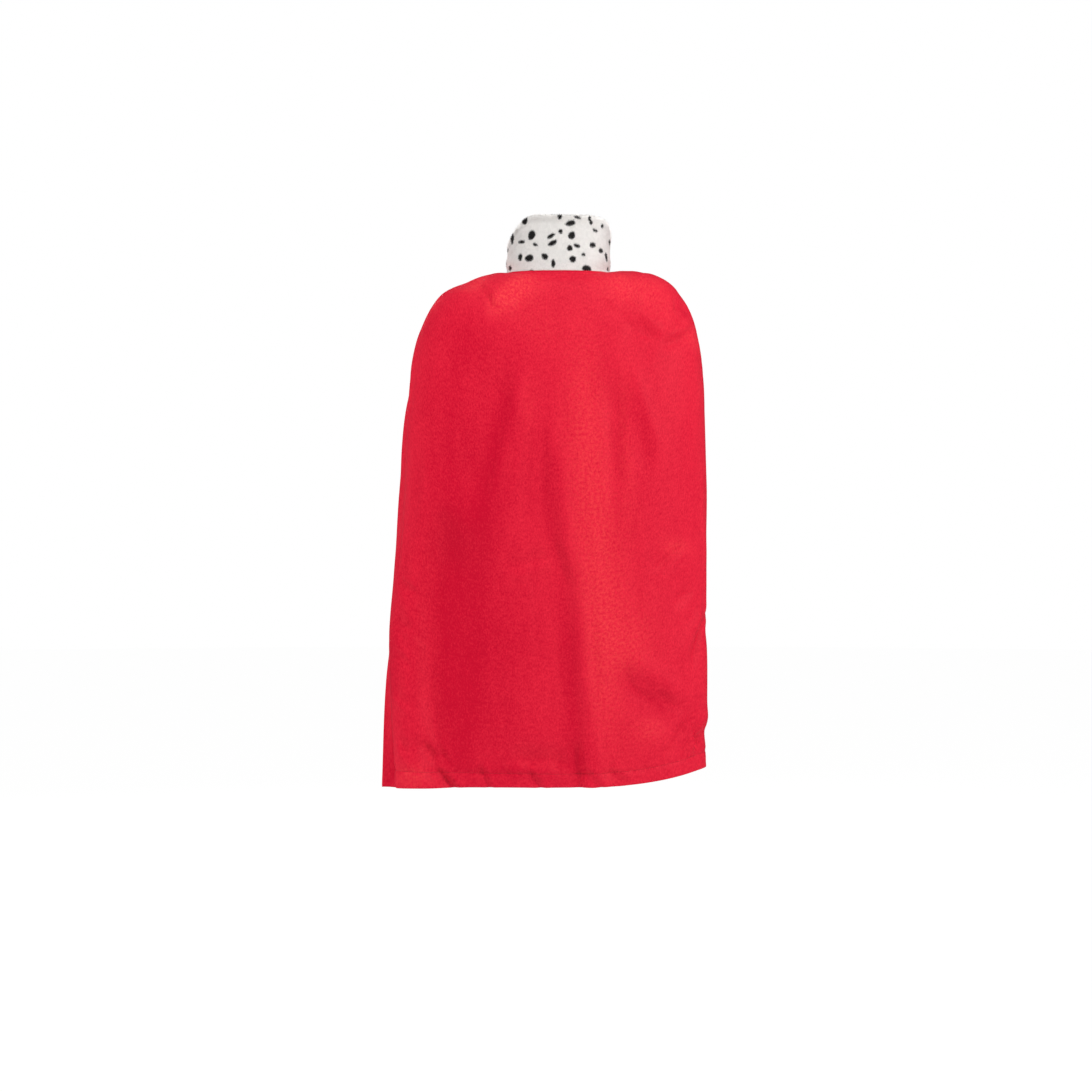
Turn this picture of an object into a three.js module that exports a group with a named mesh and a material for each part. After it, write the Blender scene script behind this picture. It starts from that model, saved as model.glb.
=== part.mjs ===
// King cape: one velour panel gathered onto a stand-up plush collar, closed at the throat by a tab.
// Millimetres, +Z up. The cape opens towards -Y; its back is at +Y and its left side, as worn, at +X.
// The origin is the middle of the neck ring, level with the neck seam at the nape.
import * as THREE from 'three';

// Cloth and seams
const WALL = 1.6; // velour, pile to backing
const HEM_TURN = 1.3; // the layer turned in behind the hems adds this much
const SIDE_HEM = 27; // width of the turned-in side hems
const BOTTOM_HEM = 23; // height of the turned-up bottom hem
const CORNER_BLUNT = 0.45; // share of the way that the lower corners are drawn in
const HEM_STEP = 3; // the turned-in layer's edge tapers off over this width
const SEAM_GAP = 0.3; // space left between pieces that are sewn to each other
const BACK_LENGTH = 815; // along the cloth at the centre back, neck seam to hem

// Collar
const COLLAR_THICK = 11; // both layers of plush with their pile
const COLLAR_LEDGE = 6; // the panel's neck edge lies flat under the collar to each side of the ring
const COLLAR_LEAN = 4.6; // the top edge leans this far to the right (-X)
const ROUND_TOP = 5.5; // rise of the rounded fold along the top edge

// Closing tab
const TAB_HEIGHT = 22;
const TAB_THICK = 1.6;
const TAB_BOTTOM = -8; // height of the tab's lower edge
const TAB_XS = [-34, -28, -20, -11, -4, 4, 11, 20, 28, 33];
const PATCH_THICK = 1.4;
const PATCH_MARGIN = 1.5;
const PATCH_XS = [14, 20, 28, 36];
const TAPE_CORNER = 2; // taken off each corner of a tape
const THROAT_X = 11; // the neck ring's front ends lie this far to each side

// Mesh density
const GATHER_ROWS = [0.014, 0.026, 0.04, 0.057, 0.076]; // shares of the way down of the rows in the gathers
const FIRST_EVEN_ROW = 0.098;
const EVEN_ROWS = 31;
const HALF_COLUMNS = 31; // from the centre back to a side hem
const SECTION_POINTS = 90;
const COLLAR_COLUMNS = 56;
const COLLAR_STEP = 5; // degrees between the body of the collar and its rounded ends

// Colours of the plain parts
const RED = 0xc8102e;
const WHITE = 0xece7df;
const TAPE = 0xf4f2ee;

// Centre back: share of the way down, y, z, squareness of the section's back
const BACK = [
  [0.00, 69, 0, 2.0],
  [0.03, 88, -22, 2.1],
  [0.08, 101, -60, 2.3],
  [0.14, 111, -108, 2.5],
  [0.22, 118, -172, 2.7],
  [0.35, 121, -278, 2.7],
  [0.50, 118, -400, 2.6],
  [0.67, 114, -538, 2.5],
  [0.84, 112, -675, 2.5],
  [1.00, 112, -804, 2.5],
];

// Widest line of each side: share down, left x, y, z, right x, y, z
const SIDE = [
  [0.00, 77, 0, 3, -77, 0, 3],
  [0.03, 103, 0, 3, -105, 0, 6.5],
  [0.08, 147, 0, -11, -150, 0, 2],
  [0.14, 190, 2, -35, -189, 2, -24],
  [0.22, 222, 5, -98, -218, 4, -84],
  [0.35, 243, 8, -208, -231, 5, -196],
  [0.50, 251, 10, -330, -233, 4, -320],
  [0.67, 261, 17, -480, -234, 2, -468],
  [0.76, 267, 30, -564, -235, 1, -548],
  [0.84, 265, 48, -640, -236, 0, -622],
  [1.00, 254, 78, -807, -233, -6, -779],
];

// Front edges: share down, left x, y, z, right x, y, z
const EDGE = [
  [0.00, 11, -69, -19, -11, -69, -19],
  [0.03, 28, -84, -35, -28, -85, -34],
  [0.08, 74, -93, -56, -74, -94, -52],
  [0.14, 126, -90, -84, -124, -91, -77],
  [0.22, 166, -80, -138, -162, -84, -128],
  [0.35, 198, -64, -236, -186, -76, -224],
  [0.50, 216, -50, -354, -192, -74, -342],
  [0.67, 244, -34, -494, -190, -80, -484],
  [0.76, 265, -12, -572, -188, -84, -562],
  [0.84, 274, 16, -646, -186, -88, -632],
  [1.00, 277, 60, -807, -180, -94, -782],
];

// Folds: depth of the trough, half widths of its steep wall and of its gentle one, each at the top and at the end of
// the path, the crest beyond the steep wall (height, how far off the trough's bottom, half width), the side that this
// wall is on (+1 is the left), then the path on the cloth as [across from the centre back, down from the neck seam]
const FOLDS = [
  { name: 'left_upper', depth: 9.5, steep: [27, 31], gentle: [60, 72], crest: [5, 36, 13], side: -1,
    path: [[82, 120], [97, 167], [106, 224], [117, 281], [133, 334], [144, 380], [153, 425]] },
  { name: 'left_low', depth: 17, steep: [23, 20], gentle: [75, 115], crest: [3, 46, 26], side: 1,
    path: [[166, 370], [186, 440], [201, 500], [208, 558], [203, 623],
      [199, 693], [186, 754], [173, 815]] },
  { name: 'middle_long', depth: 5.8, steep: [19, 21], gentle: [34, 42], crest: [5, 25, 12], side: -1,
    path: [[42, 205], [38, 257], [26, 318], [22, 379], [14, 436], [-2, 493],
      [-6, 550], [-10, 619], [-19, 693], [-23, 750], [-27, 815]] },
  { name: 'right_faint', depth: 4, steep: [14, 15], gentle: [27, 30], crest: [2, 30, 17], side: -1,
    path: [[-83, 165], [-87, 265], [-86, 375]] },
  { name: 'right_slanting', depth: 3.8, steep: [16, 17], gentle: [28, 30], crest: [3, 24, 11], side: -1,
    path: [[-90, 172], [-113, 249], [-132, 302], [-145, 360]] },
  { name: 'right_low', depth: 5.5, steep: [19, 16], gentle: [34, 30], crest: [3, 27, 14], side: -1,
    path: [[-78, 610], [-108, 655], [-144, 690], [-184, 722], [-216, 740]] },
  { name: 'right_arm', depth: 3.6, steep: [15, 13], gentle: [28, 25], crest: [4, 22, 10], side: -1,
    path: [[-110, 104], [-140, 138], [-172, 166]] },
  { name: 'right_shoulder', depth: 5, steep: [12, 12], gentle: [24, 24], crest: [2, 25, 14], side: 1,
    path: [[-202, 124], [-232, 144], [-274, 152]] },
  { name: 'right_hip_a', depth: 3, steep: [10, 9], gentle: [19, 18], crest: [2, 20, 11], side: 1,
    path: [[-146, 497], [-178, 489], [-212, 481]] },
  { name: 'right_hip_b', depth: 3, steep: [10, 9], gentle: [19, 18], crest: [2, 20, 11], side: 1,
    path: [[-186, 560], [-232, 563]] },
  { name: 'left_side_a', depth: 3, steep: [11, 10], gentle: [20, 19], crest: [1.5, 22, 12], side: 1,
    path: [[272, 540], [240, 550]] },
  { name: 'left_side_b', depth: 4, steep: [12, 11], gentle: [22, 20], crest: [2, 24, 14], side: 1,
    path: [[276, 597], [240, 618]] },
  { name: 'left_hem', depth: 4, steep: [11, 10], gentle: [20, 19], crest: [2, 22, 12], side: 1,
    path: [[232, 750], [192, 792]] },
  { name: 'right_edge', depth: 9, steep: [18, 20], gentle: [35, 40], crest: [4, 40, 23], side: 1,
    path: [[-322, 300], [-318, 420], [-306, 540], [-300, 660], [-304, 815]] },
  { name: 'right_edge_low', depth: 5, steep: [11, 11], gentle: [20, 20], crest: [3, 23, 13], side: 1,
    path: [[-284, 608], [-236, 636], [-212, 672]] },
  { name: 'right_corner', depth: 4, steep: [10, 10], gentle: [18, 18], crest: [2, 21, 12], side: 1,
    path: [[-292, 764], [-232, 776], [-220, 794]] },
  { name: 'left_front', depth: 8, steep: [16, 16], gentle: [32, 32], crest: [3, 33, 19], side: 1,
    path: [[318, 190], [310, 300], [300, 420], [290, 530]] },
  { name: 'right_front', depth: 5, steep: [15, 15], gentle: [30, 30], crest: [3, 32, 18], side: -1,
    path: [[-352, 100], [-360, 190], [-366, 270]] },
  { name: 'left_front_top', depth: 6, steep: [12, 14], gentle: [24, 27], crest: [3, 27, 16], side: 1,
    path: [[330, 64], [352, 130], [350, 196]] },
];
const FADE = 0.3; // a fold dies away over this share of its path at each end

// Gathers below the neck seam: across at the seam, depth, length down the cloth, drift sideways
const GATHERS = [
  { across: -196, depth: 2.4, length: 95, drift: -40 },
  { across: -172, depth: 2.0, length: 70, drift: -30 },
  { across: -150, depth: 2.8, length: 105, drift: -34 },
  { across: -124, depth: 2.2, length: 80, drift: -26 },
  { across: -98, depth: 2.6, length: 90, drift: -20 },
  { across: -74, depth: 1.6, length: 60, drift: -12 },
  { across: 78, depth: 2.0, length: 75, drift: 14 },
  { across: 104, depth: 2.6, length: 95, drift: 22 },
  { across: 130, depth: 2.0, length: 70, drift: 26 },
  { across: 154, depth: 2.8, length: 100, drift: 34 },
  { across: 180, depth: 2.2, length: 80, drift: 36 },
  { across: 203, depth: 2.4, length: 90, drift: 42 },
];
const GATHER_HALF = 8;
const GATHER_RISE = 18; // a gather reaches its full depth this far below the seam
const GATHER_SPREAD = { by: 0.75, within: 30 }; // gathers move apart by this share just below the seam
const GATHER_WIDEN = 1.2; // and each widens by this share on its way down
const GATHER_RIDGE = { height: 0.6, off: 1.6 }; // the ridge beside it: share of its depth, and half widths away

// Collar: degrees from the nape, height on the left side and on the right side, height of the soft roll near its base,
// how far the roll stands out as a share of half the thickness
const COLLAR = [
  [0, 90, 90, 20, 0.1],
  [20, 90, 90, 20, 0.14],
  [35, 90, 89.5, 20, 0.18],
  [47, 84, 88, 19, 0.25],
  [59, 73, 85, 18, 0.32],
  [71, 60, 78, 17, 0.32],
  [90, 50, 62, 15, 0.27],
  [115, 46, 50, 14, 0.18],
  [140, 43, 45, 13, 0.14],
  [160, 41, 42, 12, 0.1],
  [171.5, 39, 39, 12, 0.1],
];

// The collar's section, up its inside and down its outside: share of half the thickness, share of the roll's stand-out,
// then its level as a sum of shares of the height, of the roll's height and of the rounded top's rise
const COLLAR_SECTION = [
  [-0.82, 0, 0, 0, 0],
  [-1, 0, 0.03, 0, 0],
  [-1, 0, 0.3, 0, 0],
  [-1, 0, 0.62, 0, 0],
  [-1, 0, 1, 0, -1],
  [-0.7, 0, 1, 0, -0.3],
  [0, 0, 1, 0, 0],
  [0.7, 0, 1, 0, -0.3],
  [1, 0, 1, 0, -1],
  [1, 0, 0.72, 0, 0],
  [1, 0, 0.48, 0, 0],
  [1, 0.3, 0, 1.6, 0],
  [1, 1, 0, 1, 0],
  [1, 0.4, 0, 0.45, 0],
  [1, 0, 0.03, 0, 0],
  [0.82, 0, 0, 0, 0],
];

// The collar's rounded front ends: degrees back from the end, share of the thickness, share of the height
const COLLAR_ENDS = [
  [0, 0.35, 0.62],
  [0.8, 0.72, 0.8],
  [2.4, 0.93, 0.93],
  [4.6, 1, 0.99],
];

// A table's column at a place along its first column, on a smooth curve through the rows
function smooth(rows, column, at) {
  let k = 0;
  while (k < rows.length - 2 && at > rows[k + 1][0]) {
    k += 1;
  }
  const slope = (i) => {
    const before = rows[Math.max(i - 1, 0)];
    const after = rows[Math.min(i + 1, rows.length - 1)];
    return (after[column] - before[column]) / (after[0] - before[0]);
  };
  const [a, b] = [rows[k], rows[k + 1]];
  const span = b[0] - a[0];
  const t = (at - a[0]) / span;
  return (1 + 2 * t) * (1 - t) ** 2 * a[column]
    + t * (1 - t) ** 2 * span * slope(k)
    + t * t * (3 - 2 * t) * b[column]
    + t * t * (t - 1) * span * slope(k + 1);
}

// The level curve of the cape on one side, from the centre back to the front edge
function halfSection(down, side) {
  const shift = side > 0 ? 0 : 3;
  const [by, bz, square] = [1, 2, 3].map((column) => smooth(BACK, column, down));
  const [sx, sy, sz] = [1, 2, 3].map((column) => smooth(SIDE, column + shift, down));
  const [ex, ey, ez] = [1, 2, 3].map((column) => smooth(EDGE, column + shift, down));
  const points = [];
  for (let i = 0; i <= SECTION_POINTS; i += 1) {
    const turn = (i / SECTION_POINTS) * Math.PI / 2;
    const out = Math.sin(turn) ** (2 / square);
    const back = Math.max(Math.cos(turn), 0) ** (2 / square);
    points.push(new THREE.Vector3(sx * out, sy + (by - sy) * back, bz + (sz - bz) * Math.sin(turn) ** 2));
  }
  for (let i = 1; i <= SECTION_POINTS / 2; i += 1) {
    const turn = (i / (SECTION_POINTS / 2)) * Math.PI / 2;
    points.push(new THREE.Vector3(
      ex + (sx - ex) * Math.cos(turn),
      sy + (ey - sy) * Math.sin(turn),
      sz + (ez - sz) * (1 - Math.cos(turn)),
    ));
  }
  return points;
}

// Running length along a line of points
function lengths(points) {
  const run = [0];
  for (let i = 1; i < points.length; i += 1) {
    run.push(run[i - 1] + points[i].distanceTo(points[i - 1]));
  }
  return run;
}

function pointAt(points, run, at) {
  let k = 0;
  while (k < run.length - 2 && at > run[k + 1]) {
    k += 1;
  }
  const t = (at - run[k]) / (run[k + 1] - run[k]);
  return points[k].clone().lerp(points[k + 1], t);
}

// Places across one half of a row: even steps as far as the side hem, then the hem's own lines
function acrossPlaces(half) {
  const inner = half - SIDE_HEM - HEM_STEP;
  const places = [];
  for (let i = 0; i <= HALF_COLUMNS; i += 1) {
    places.push(inner * i / HALF_COLUMNS);
  }
  places.push(half - SIDE_HEM, half - SIDE_HEM / 2, half);
  return places;
}

// Distance from a place on the cloth to a fold's path: along it as a share, and sideways with its sign
function alongPath(path, across, down) {
  let best = { apart: Infinity, side: 1, share: 0 };
  const steps = path.slice(1).map((p, i) => Math.hypot(p[0] - path[i][0], p[1] - path[i][1]));
  const whole = steps.reduce((sum, step) => sum + step, 0);
  let before = 0;
  steps.forEach((step, i) => {
    const [ax, ad] = path[i];
    const [bx, bd] = path[i + 1];
    const t = ((across - ax) * (bx - ax) + (down - ad) * (bd - ad)) / (step * step);
    const held = Math.min(Math.max(t, 0), 1);
    const dx = across - ax - held * (bx - ax);
    const dd = down - ad - held * (bd - ad);
    const apart = Math.hypot(dx, dd);
    if (apart < best.apart) {
      const cross = (bd - ad) * dx - (bx - ax) * dd;
      best = { apart, side: Math.sign(cross) || 1, share: (before + held * step) / whole };
    }
    before += step;
  });
  return best;
}

const bell = (x) => Math.exp(-x * x);

// A fold is full in its middle and fades at its ends, save at an end that runs out through the hem
function foldHeight(fold, across, down) {
  const { apart, side, share } = alongPath(fold.path, across, down);
  const last = fold.path[fold.path.length - 1];
  const fadeIn = Math.min(share / FADE, 1);
  const fadeOut = last[1] >= BACK_LENGTH ? 1 : Math.min((1 - share) / FADE, 1);
  const fade = (x) => x * x * (3 - 2 * x);
  const [steep, gentle] = [fold.steep, fold.gentle].map(([top, end]) => top + (end - top) * share);
  const towardsCrest = side * fold.side * apart;
  const trough = -fold.depth * bell(apart / (towardsCrest > 0 ? steep : gentle));
  const [crestHeight, crestOff, crestHalf] = fold.crest;
  const crest = crestHeight * bell((towardsCrest - crestOff) / crestHalf);
  return (trough + crest) * fade(fadeIn) * fade(fadeOut);
}

function gatherHeight(across, down) {
  let height = 0;
  for (const gather of GATHERS) {
    const t = down / gather.length;
    if (t < 1) {
      const spread = 1 + GATHER_SPREAD.by * Math.min(down / GATHER_SPREAD.within, 1);
      const half = GATHER_HALF * (1 + GATHER_WIDEN * t);
      const apart = (across - gather.across * spread - gather.drift * t) / half;
      const depth = gather.depth * Math.min(down / GATHER_RISE, 1) * (1 - t);
      height += depth * (GATHER_RIDGE.height * bell(apart - GATHER_RIDGE.off) - bell(apart));
    }
  }
  return height;
}

// Rows down the cloth: close rows at the gathers, then even rows, then the hem
function rowShares() {
  const hem = 1 - BOTTOM_HEM / BACK_LENGTH;
  const step = 1 - (BOTTOM_HEM + HEM_STEP) / BACK_LENGTH;
  const shares = [...GATHER_ROWS];
  for (let i = 0; i <= EVEN_ROWS; i += 1) {
    shares.push(FIRST_EVEN_ROW + (step - FIRST_EVEN_ROW) * i / EVEN_ROWS);
  }
  shares.push(hem, (1 + hem) / 2, 1);
  return shares;
}

// The cape's outer face as rows of points from the right front edge to the left one, with places on the cloth
function panelRow(down) {
  const row = [];
  for (const side of [-1, 1]) {
    const section = halfSection(down, side);
    const run = lengths(section);
    const places = acrossPlaces(run[run.length - 1]);
    const half = places.map((at) => ({
      point: pointAt(section, run, at),
      across: side * at,
      fromEdge: places[places.length - 1] - at,
      down: down * BACK_LENGTH,
    }));
    row.push(...(side < 0 ? half.reverse() : half.slice(1)));
  }
  return row;
}

// The neck ring moved level, out (+) or in (-)
function ledgeRow(out) {
  const ring = panelRow(0);
  return ring.map((place, i) => {
    const before = ring[Math.max(i - 1, 0)].point;
    const after = ring[Math.min(i + 1, ring.length - 1)].point;
    const level = new THREE.Vector3(after.y - before.y, before.x - after.x, 0).normalize();
    return { ...place, point: place.point.clone().addScaledVector(level, -out), down: 0 };
  });
}

// Unit normals of a grid of points, away from the hollow inside the cape
function gridNormals(grid) {
  return grid.map((row, i) => row.map((_, j) => {
    const up = grid[Math.max(i - 1, 0)][j];
    const below = grid[Math.min(i + 1, grid.length - 1)][j];
    const right = row[Math.max(j - 1, 0)];
    const left = row[Math.min(j + 1, row.length - 1)];
    const along = left.clone().sub(right);
    const fall = below.clone().sub(up);
    return along.cross(fall).normalize();
  }));
}

// A closed mesh from an outer and an inner grid of the same size
function walledGeometry(outer, inner) {
  const [rows, columns] = [outer.length, outer[0].length];
  const positions = [...outer.flat(), ...inner.flat()].flatMap((p) => [p.x, p.y, p.z]);
  const out = (i, j) => i * columns + j;
  const back = (i, j) => rows * columns + i * columns + j;
  const index = [];
  const quad = (a, b, c, d) => index.push(a, b, c, a, c, d);
  for (let i = 0; i < rows - 1; i += 1) {
    for (let j = 0; j < columns - 1; j += 1) {
      quad(out(i, j), out(i, j + 1), out(i + 1, j + 1), out(i + 1, j));
      quad(back(i, j), back(i + 1, j), back(i + 1, j + 1), back(i, j + 1));
    }
  }
  for (let j = 0; j < columns - 1; j += 1) {
    quad(out(0, j), back(0, j), back(0, j + 1), out(0, j + 1));
    quad(out(rows - 1, j), out(rows - 1, j + 1), back(rows - 1, j + 1), back(rows - 1, j));
  }
  for (let i = 0; i < rows - 1; i += 1) {
    quad(out(i, 0), out(i + 1, 0), back(i + 1, 0), back(i, 0));
    quad(out(i, columns - 1), back(i, columns - 1), back(i + 1, columns - 1), out(i + 1, columns - 1));
  }
  return indexedGeometry(positions, index);
}

function indexedGeometry(positions, index) {
  const geometry = new THREE.BufferGeometry();
  geometry.setAttribute('position', new THREE.Float32BufferAttribute(positions, 3));
  geometry.setIndex(index);
  geometry.computeVertexNormals();
  return geometry;
}

function solid(name, geometry, colour) {
  const mesh = new THREE.Mesh(geometry, new THREE.MeshStandardMaterial({ color: colour, roughness: 0.9 }));
  mesh.name = name;
  return mesh;
}

// The two lower corners are blunt: each is drawn towards its neighbours
function roundCorners(grid) {
  const [low, above] = [grid[grid.length - 1], grid[grid.length - 2]];
  for (const [corner, beside] of [[0, 1], [low.length - 1, low.length - 2]]) {
    const middle = low[beside].clone().add(above[corner]).divideScalar(2);
    low[corner].lerp(middle, CORNER_BLUNT);
  }
}

// Cape panel: one piece of velour, folds and gathers raised on its sections, hems turned in behind
function capePanel() {
  const places = [ledgeRow(-COLLAR_LEDGE), ledgeRow(COLLAR_LEDGE), ...rowShares().map(panelRow)];
  const plain = places.map((row) => row.map((place) => place.point));
  const plainNormals = gridNormals(plain);
  roundCorners(plain);
  const outer = places.map((row, i) => row.map((place, j) => {
    let height = gatherHeight(place.across, place.down);
    for (const fold of FOLDS) {
      height += foldHeight(fold, place.across, place.down);
    }
    return plain[i][j].clone().addScaledVector(plainNormals[i][j], place.down > 0 ? height : 0);
  }));
  const normals = gridNormals(outer);
  const inner = places.map((row, i) => row.map((place, j) => {
    const inSide = place.fromEdge <= SIDE_HEM + 0.01;
    const inBottom = BACK_LENGTH - place.down <= BOTTOM_HEM + 0.01;
    const thick = WALL + (inSide || inBottom ? HEM_TURN : 0);
    const normal = place.down > 0 ? normals[i][j] : new THREE.Vector3(0, 0, 1);
    return outer[i][j].clone().addScaledVector(normal, -thick);
  }));
  return solid('cape_panel', walledGeometry(outer, inner), RED);
}

// The neck ring by turn from the nape: its point and the level direction away from the neck
function ringAt(turn) {
  const side = turn < 0 ? -1 : 1;
  const section = halfSection(0, side);
  const run = lengths(section);
  const share = Math.abs(turn) / COLLAR[COLLAR.length - 1][0];
  const at = run[run.length - 1] * share;
  const point = pointAt(section, run, at);
  const next = pointAt(section, run, Math.min(at + 1, run[run.length - 1]));
  const back = pointAt(section, run, Math.max(at - 1, 0));
  const along = next.sub(back);
  const level = new THREE.Vector3(-along.y * side, along.x * side, 0).normalize();
  return { point, level };
}

// Stand-up collar: one strip of plush folded double at its top, its front ends rounded
function collarRing(turn, thin, low) {
  const { point, level } = ringAt(turn);
  const side = turn < 0 ? 2 : 1;
  const [height, rollUp, roll] = [side, 3, 4].map((column) => smooth(COLLAR, column, Math.abs(turn)));
  return COLLAR_SECTION.map(([out, rolled, ofHeight, ofRoll, ofRound]) => {
    const up = (ofHeight * height + ofRoll * rollUp) * low + ofRound * ROUND_TOP;
    const lean = -COLLAR_LEAN * (up / COLLAR[0][1]) ** 2;
    return point.clone()
      .addScaledVector(level, (out + rolled * roll) * thin * COLLAR_THICK / 2)
      .add(new THREE.Vector3(lean, 0, up + SEAM_GAP));
  });
}

function collar() {
  const last = COLLAR[COLLAR.length - 1][0];
  const rings = COLLAR_ENDS.map(([back, thin, low]) => collarRing(-last + back, thin, low));
  const body = last - COLLAR_ENDS[COLLAR_ENDS.length - 1][0] - COLLAR_STEP;
  for (let i = 0; i <= COLLAR_COLUMNS; i += 1) {
    rings.push(collarRing(body * (2 * i / COLLAR_COLUMNS - 1), 1, 1));
  }
  rings.push(...COLLAR_ENDS.map(([back, thin, low]) => collarRing(last - back, thin, low)).reverse());
  return solid('collar', loftedGeometry(rings), WHITE);
}

// A closed mesh through rings of the same number of points, each end closed to its middle
function loftedGeometry(rings) {
  const count = rings[0].length;
  const ends = [rings[0], rings[rings.length - 1]].map((ring) => (
    ring.reduce((sum, p) => sum.add(p), new THREE.Vector3()).divideScalar(count)
  ));
  const positions = [...rings.flat(), ...ends].flatMap((p) => [p.x, p.y, p.z]);
  const [first, last] = [rings.length * count, rings.length * count + 1];
  const index = [];
  for (let j = 0; j < count; j += 1) {
    const k = (j + 1) % count;
    for (let i = 0; i < rings.length - 1; i += 1) {
      const [a, b, c, d] = [i * count + j, i * count + k, (i + 1) * count + k, (i + 1) * count + j];
      index.push(a, c, b, a, d, c);
    }
    const end = (rings.length - 1) * count;
    index.push(first, j, k, last, end + k, end + j);
  }
  return indexedGeometry(positions, index);
}

// A strip of tape inside the collar's front, from one x to another, its back face off the ring by two amounts
function tapeGrid(xs, offAt, bottom, top) {
  const ring = (x) => {
    const from = Math.max(Math.abs(x), THROAT_X);
    const turn = Math.acos(Math.min((from - THROAT_X) / (SIDE[0][1] - THROAT_X), 1));
    return {
      y: EDGE[0][2] * Math.sin(turn),
      levelX: -Math.sign(x) * Math.cos(turn) * (Math.abs(x) > THROAT_X ? 1 : 0),
      levelY: Math.sin(turn),
    };
  };
  return [1, 0].map((up) => xs.map((x, i) => {
    const { y, levelX, levelY } = ring(x);
    const cut = i === 0 || i === xs.length - 1 ? TAPE_CORNER : 0;
    const z = up ? top - cut : bottom + cut;
    return new THREE.Vector3(x + levelX * offAt(x), y + levelY * offAt(x), z);
  }));
}

function tape(name, xs, offAt, thick, bottom, top, colour) {
  const face = tapeGrid(xs, (x) => offAt(x) + thick, bottom, top);
  const back = tapeGrid(xs, offAt, bottom, top);
  return solid(name, walledGeometry(face, back), colour);
}

// Closing tab: hook tape sewn inside the right front end, reaching over the throat to the patch
const INSIDE = COLLAR_THICK / 2 + SEAM_GAP;
const OVER_PATCH = INSIDE + PATCH_THICK + SEAM_GAP;

function neckTab() {
  const offAt = (x) => INSIDE + (OVER_PATCH - INSIDE) * THREE.MathUtils.smoothstep(x, -THROAT_X, THROAT_X / 2);
  return tape('neck_tab', TAB_XS, offAt, TAB_THICK, TAB_BOTTOM, TAB_BOTTOM + TAB_HEIGHT, TAPE);
}

// Loop patch: sewn inside the left front end, a little taller than the tab
function loopPatch() {
  const [bottom, top] = [TAB_BOTTOM - PATCH_MARGIN, TAB_BOTTOM + TAB_HEIGHT + PATCH_MARGIN];
  return tape('loop_patch', PATCH_XS, () => INSIDE, PATCH_THICK, bottom, top, TAPE);
}

const part = new THREE.Group();
part.name = 'king_cape';
part.add(capePanel(), collar(), neckTab(), loopPatch());

export default part;
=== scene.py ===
import math

import bpy
import numpy as np
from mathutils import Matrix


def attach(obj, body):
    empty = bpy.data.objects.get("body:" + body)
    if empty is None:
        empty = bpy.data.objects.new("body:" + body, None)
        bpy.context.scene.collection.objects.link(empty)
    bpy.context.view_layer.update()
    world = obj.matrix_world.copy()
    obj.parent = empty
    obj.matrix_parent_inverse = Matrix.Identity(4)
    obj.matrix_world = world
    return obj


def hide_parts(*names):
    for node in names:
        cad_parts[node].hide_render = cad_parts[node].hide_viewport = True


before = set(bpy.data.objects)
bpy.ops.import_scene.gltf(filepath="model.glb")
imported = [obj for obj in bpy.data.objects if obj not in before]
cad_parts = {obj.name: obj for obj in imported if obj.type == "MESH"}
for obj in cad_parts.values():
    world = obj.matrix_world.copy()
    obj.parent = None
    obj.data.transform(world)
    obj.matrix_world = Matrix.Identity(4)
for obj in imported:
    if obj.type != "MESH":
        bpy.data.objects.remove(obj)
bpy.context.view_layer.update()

# Camera: level with the middle of the cape and straight behind it, as in the photo, which shows 1.54 mm of the
# cape's back in each of its pixels. Metres; the cape opens towards -Y.
PHOTO_SIDE = 1092
MM_PER_PIXEL = 1.54
CAPE_BACK_Y = 0.12
CAMERA_AT = (0.0196, 3.6, -0.430)
SENSOR = 36.0

camera_data = bpy.data.cameras.new("camera")
camera_data.sensor_width = SENSOR
camera_data.lens = SENSOR * (CAMERA_AT[1] - CAPE_BACK_Y) / (MM_PER_PIXEL / 1000 * PHOTO_SIDE)
camera = bpy.data.objects.new("camera", camera_data)
camera.location = CAMERA_AT
camera.rotation_euler = (math.radians(90), 0, math.radians(180))
bpy.context.collection.objects.link(camera)
bpy.context.scene.camera = camera
bpy.context.scene.view_settings.view_transform = "Standard"

# Studio: a plain pale floor well below the hem, white surroundings, and soft lamps. The key lamp is high at the
# picture's right, so the folds shade towards the left.
FLOOR_Z = -1.21
FLOOR_RADIUS = 14.0
FLOOR_WHITE = 0.94  # share of the floor's own glow in what the camera sees of it
FLOOR_GLOW = 1.02
AMBIENT = 0.683  # light from all round, on what isn't glossy

WHITE = (1, 1, 1, 1)


def node_for(tree, kind, values=None, **settings):
    """A shader node with its settings and its sockets' values."""
    node = tree.nodes.new(kind)
    for key, value in settings.items():
        setattr(node, key, value)
    for key, value in (values or {}).items():
        node.inputs[key].default_value = value
    return node


def wire(tree, *links):
    """Links nodes, each link given as a node, its output, the next node and its input."""
    for source, output, target, socket in links:
        tree.links.new(source.outputs[output], target.inputs[socket])


def material_for(name, values):
    """A new material with values on its shader's own sockets: the material, its tree and its shader."""
    material = bpy.data.materials.new(name)
    material.use_nodes = True
    shader = material.node_tree.nodes["Principled BSDF"]
    for socket, value in values.items():
        shader.inputs[socket].default_value = value
    return material, material.node_tree, shader


bpy.ops.object.select_all(action="DESELECT")
bpy.ops.mesh.primitive_circle_add(vertices=96, radius=FLOOR_RADIUS, fill_type="NGON", location=(0, 0, FLOOR_Z))
floor = bpy.context.object
floor.name = "floor"
floor_paint, paint, pale = material_for("floor_paint", {"Base Color": (0.86, 0.86, 0.85, 1), "Roughness": 0.9})
glow = node_for(paint, "ShaderNodeEmission", {"Color": WHITE, "Strength": FLOOR_GLOW})
looked_at = node_for(paint, "ShaderNodeLightPath")
share = node_for(paint, "ShaderNodeMath", {1: FLOOR_WHITE}, operation="MULTIPLY")
lit = node_for(paint, "ShaderNodeMixShader")
wire(
    paint, (looked_at, "Is Camera Ray", share, 0), (share, "Value", lit, "Fac"), (pale, "BSDF", lit, 1),
    (glow, "Emission", lit, 2), (lit, "Shader", paint.nodes["Material Output"], "Surface"))
floor.data.materials.append(floor_paint)
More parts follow.
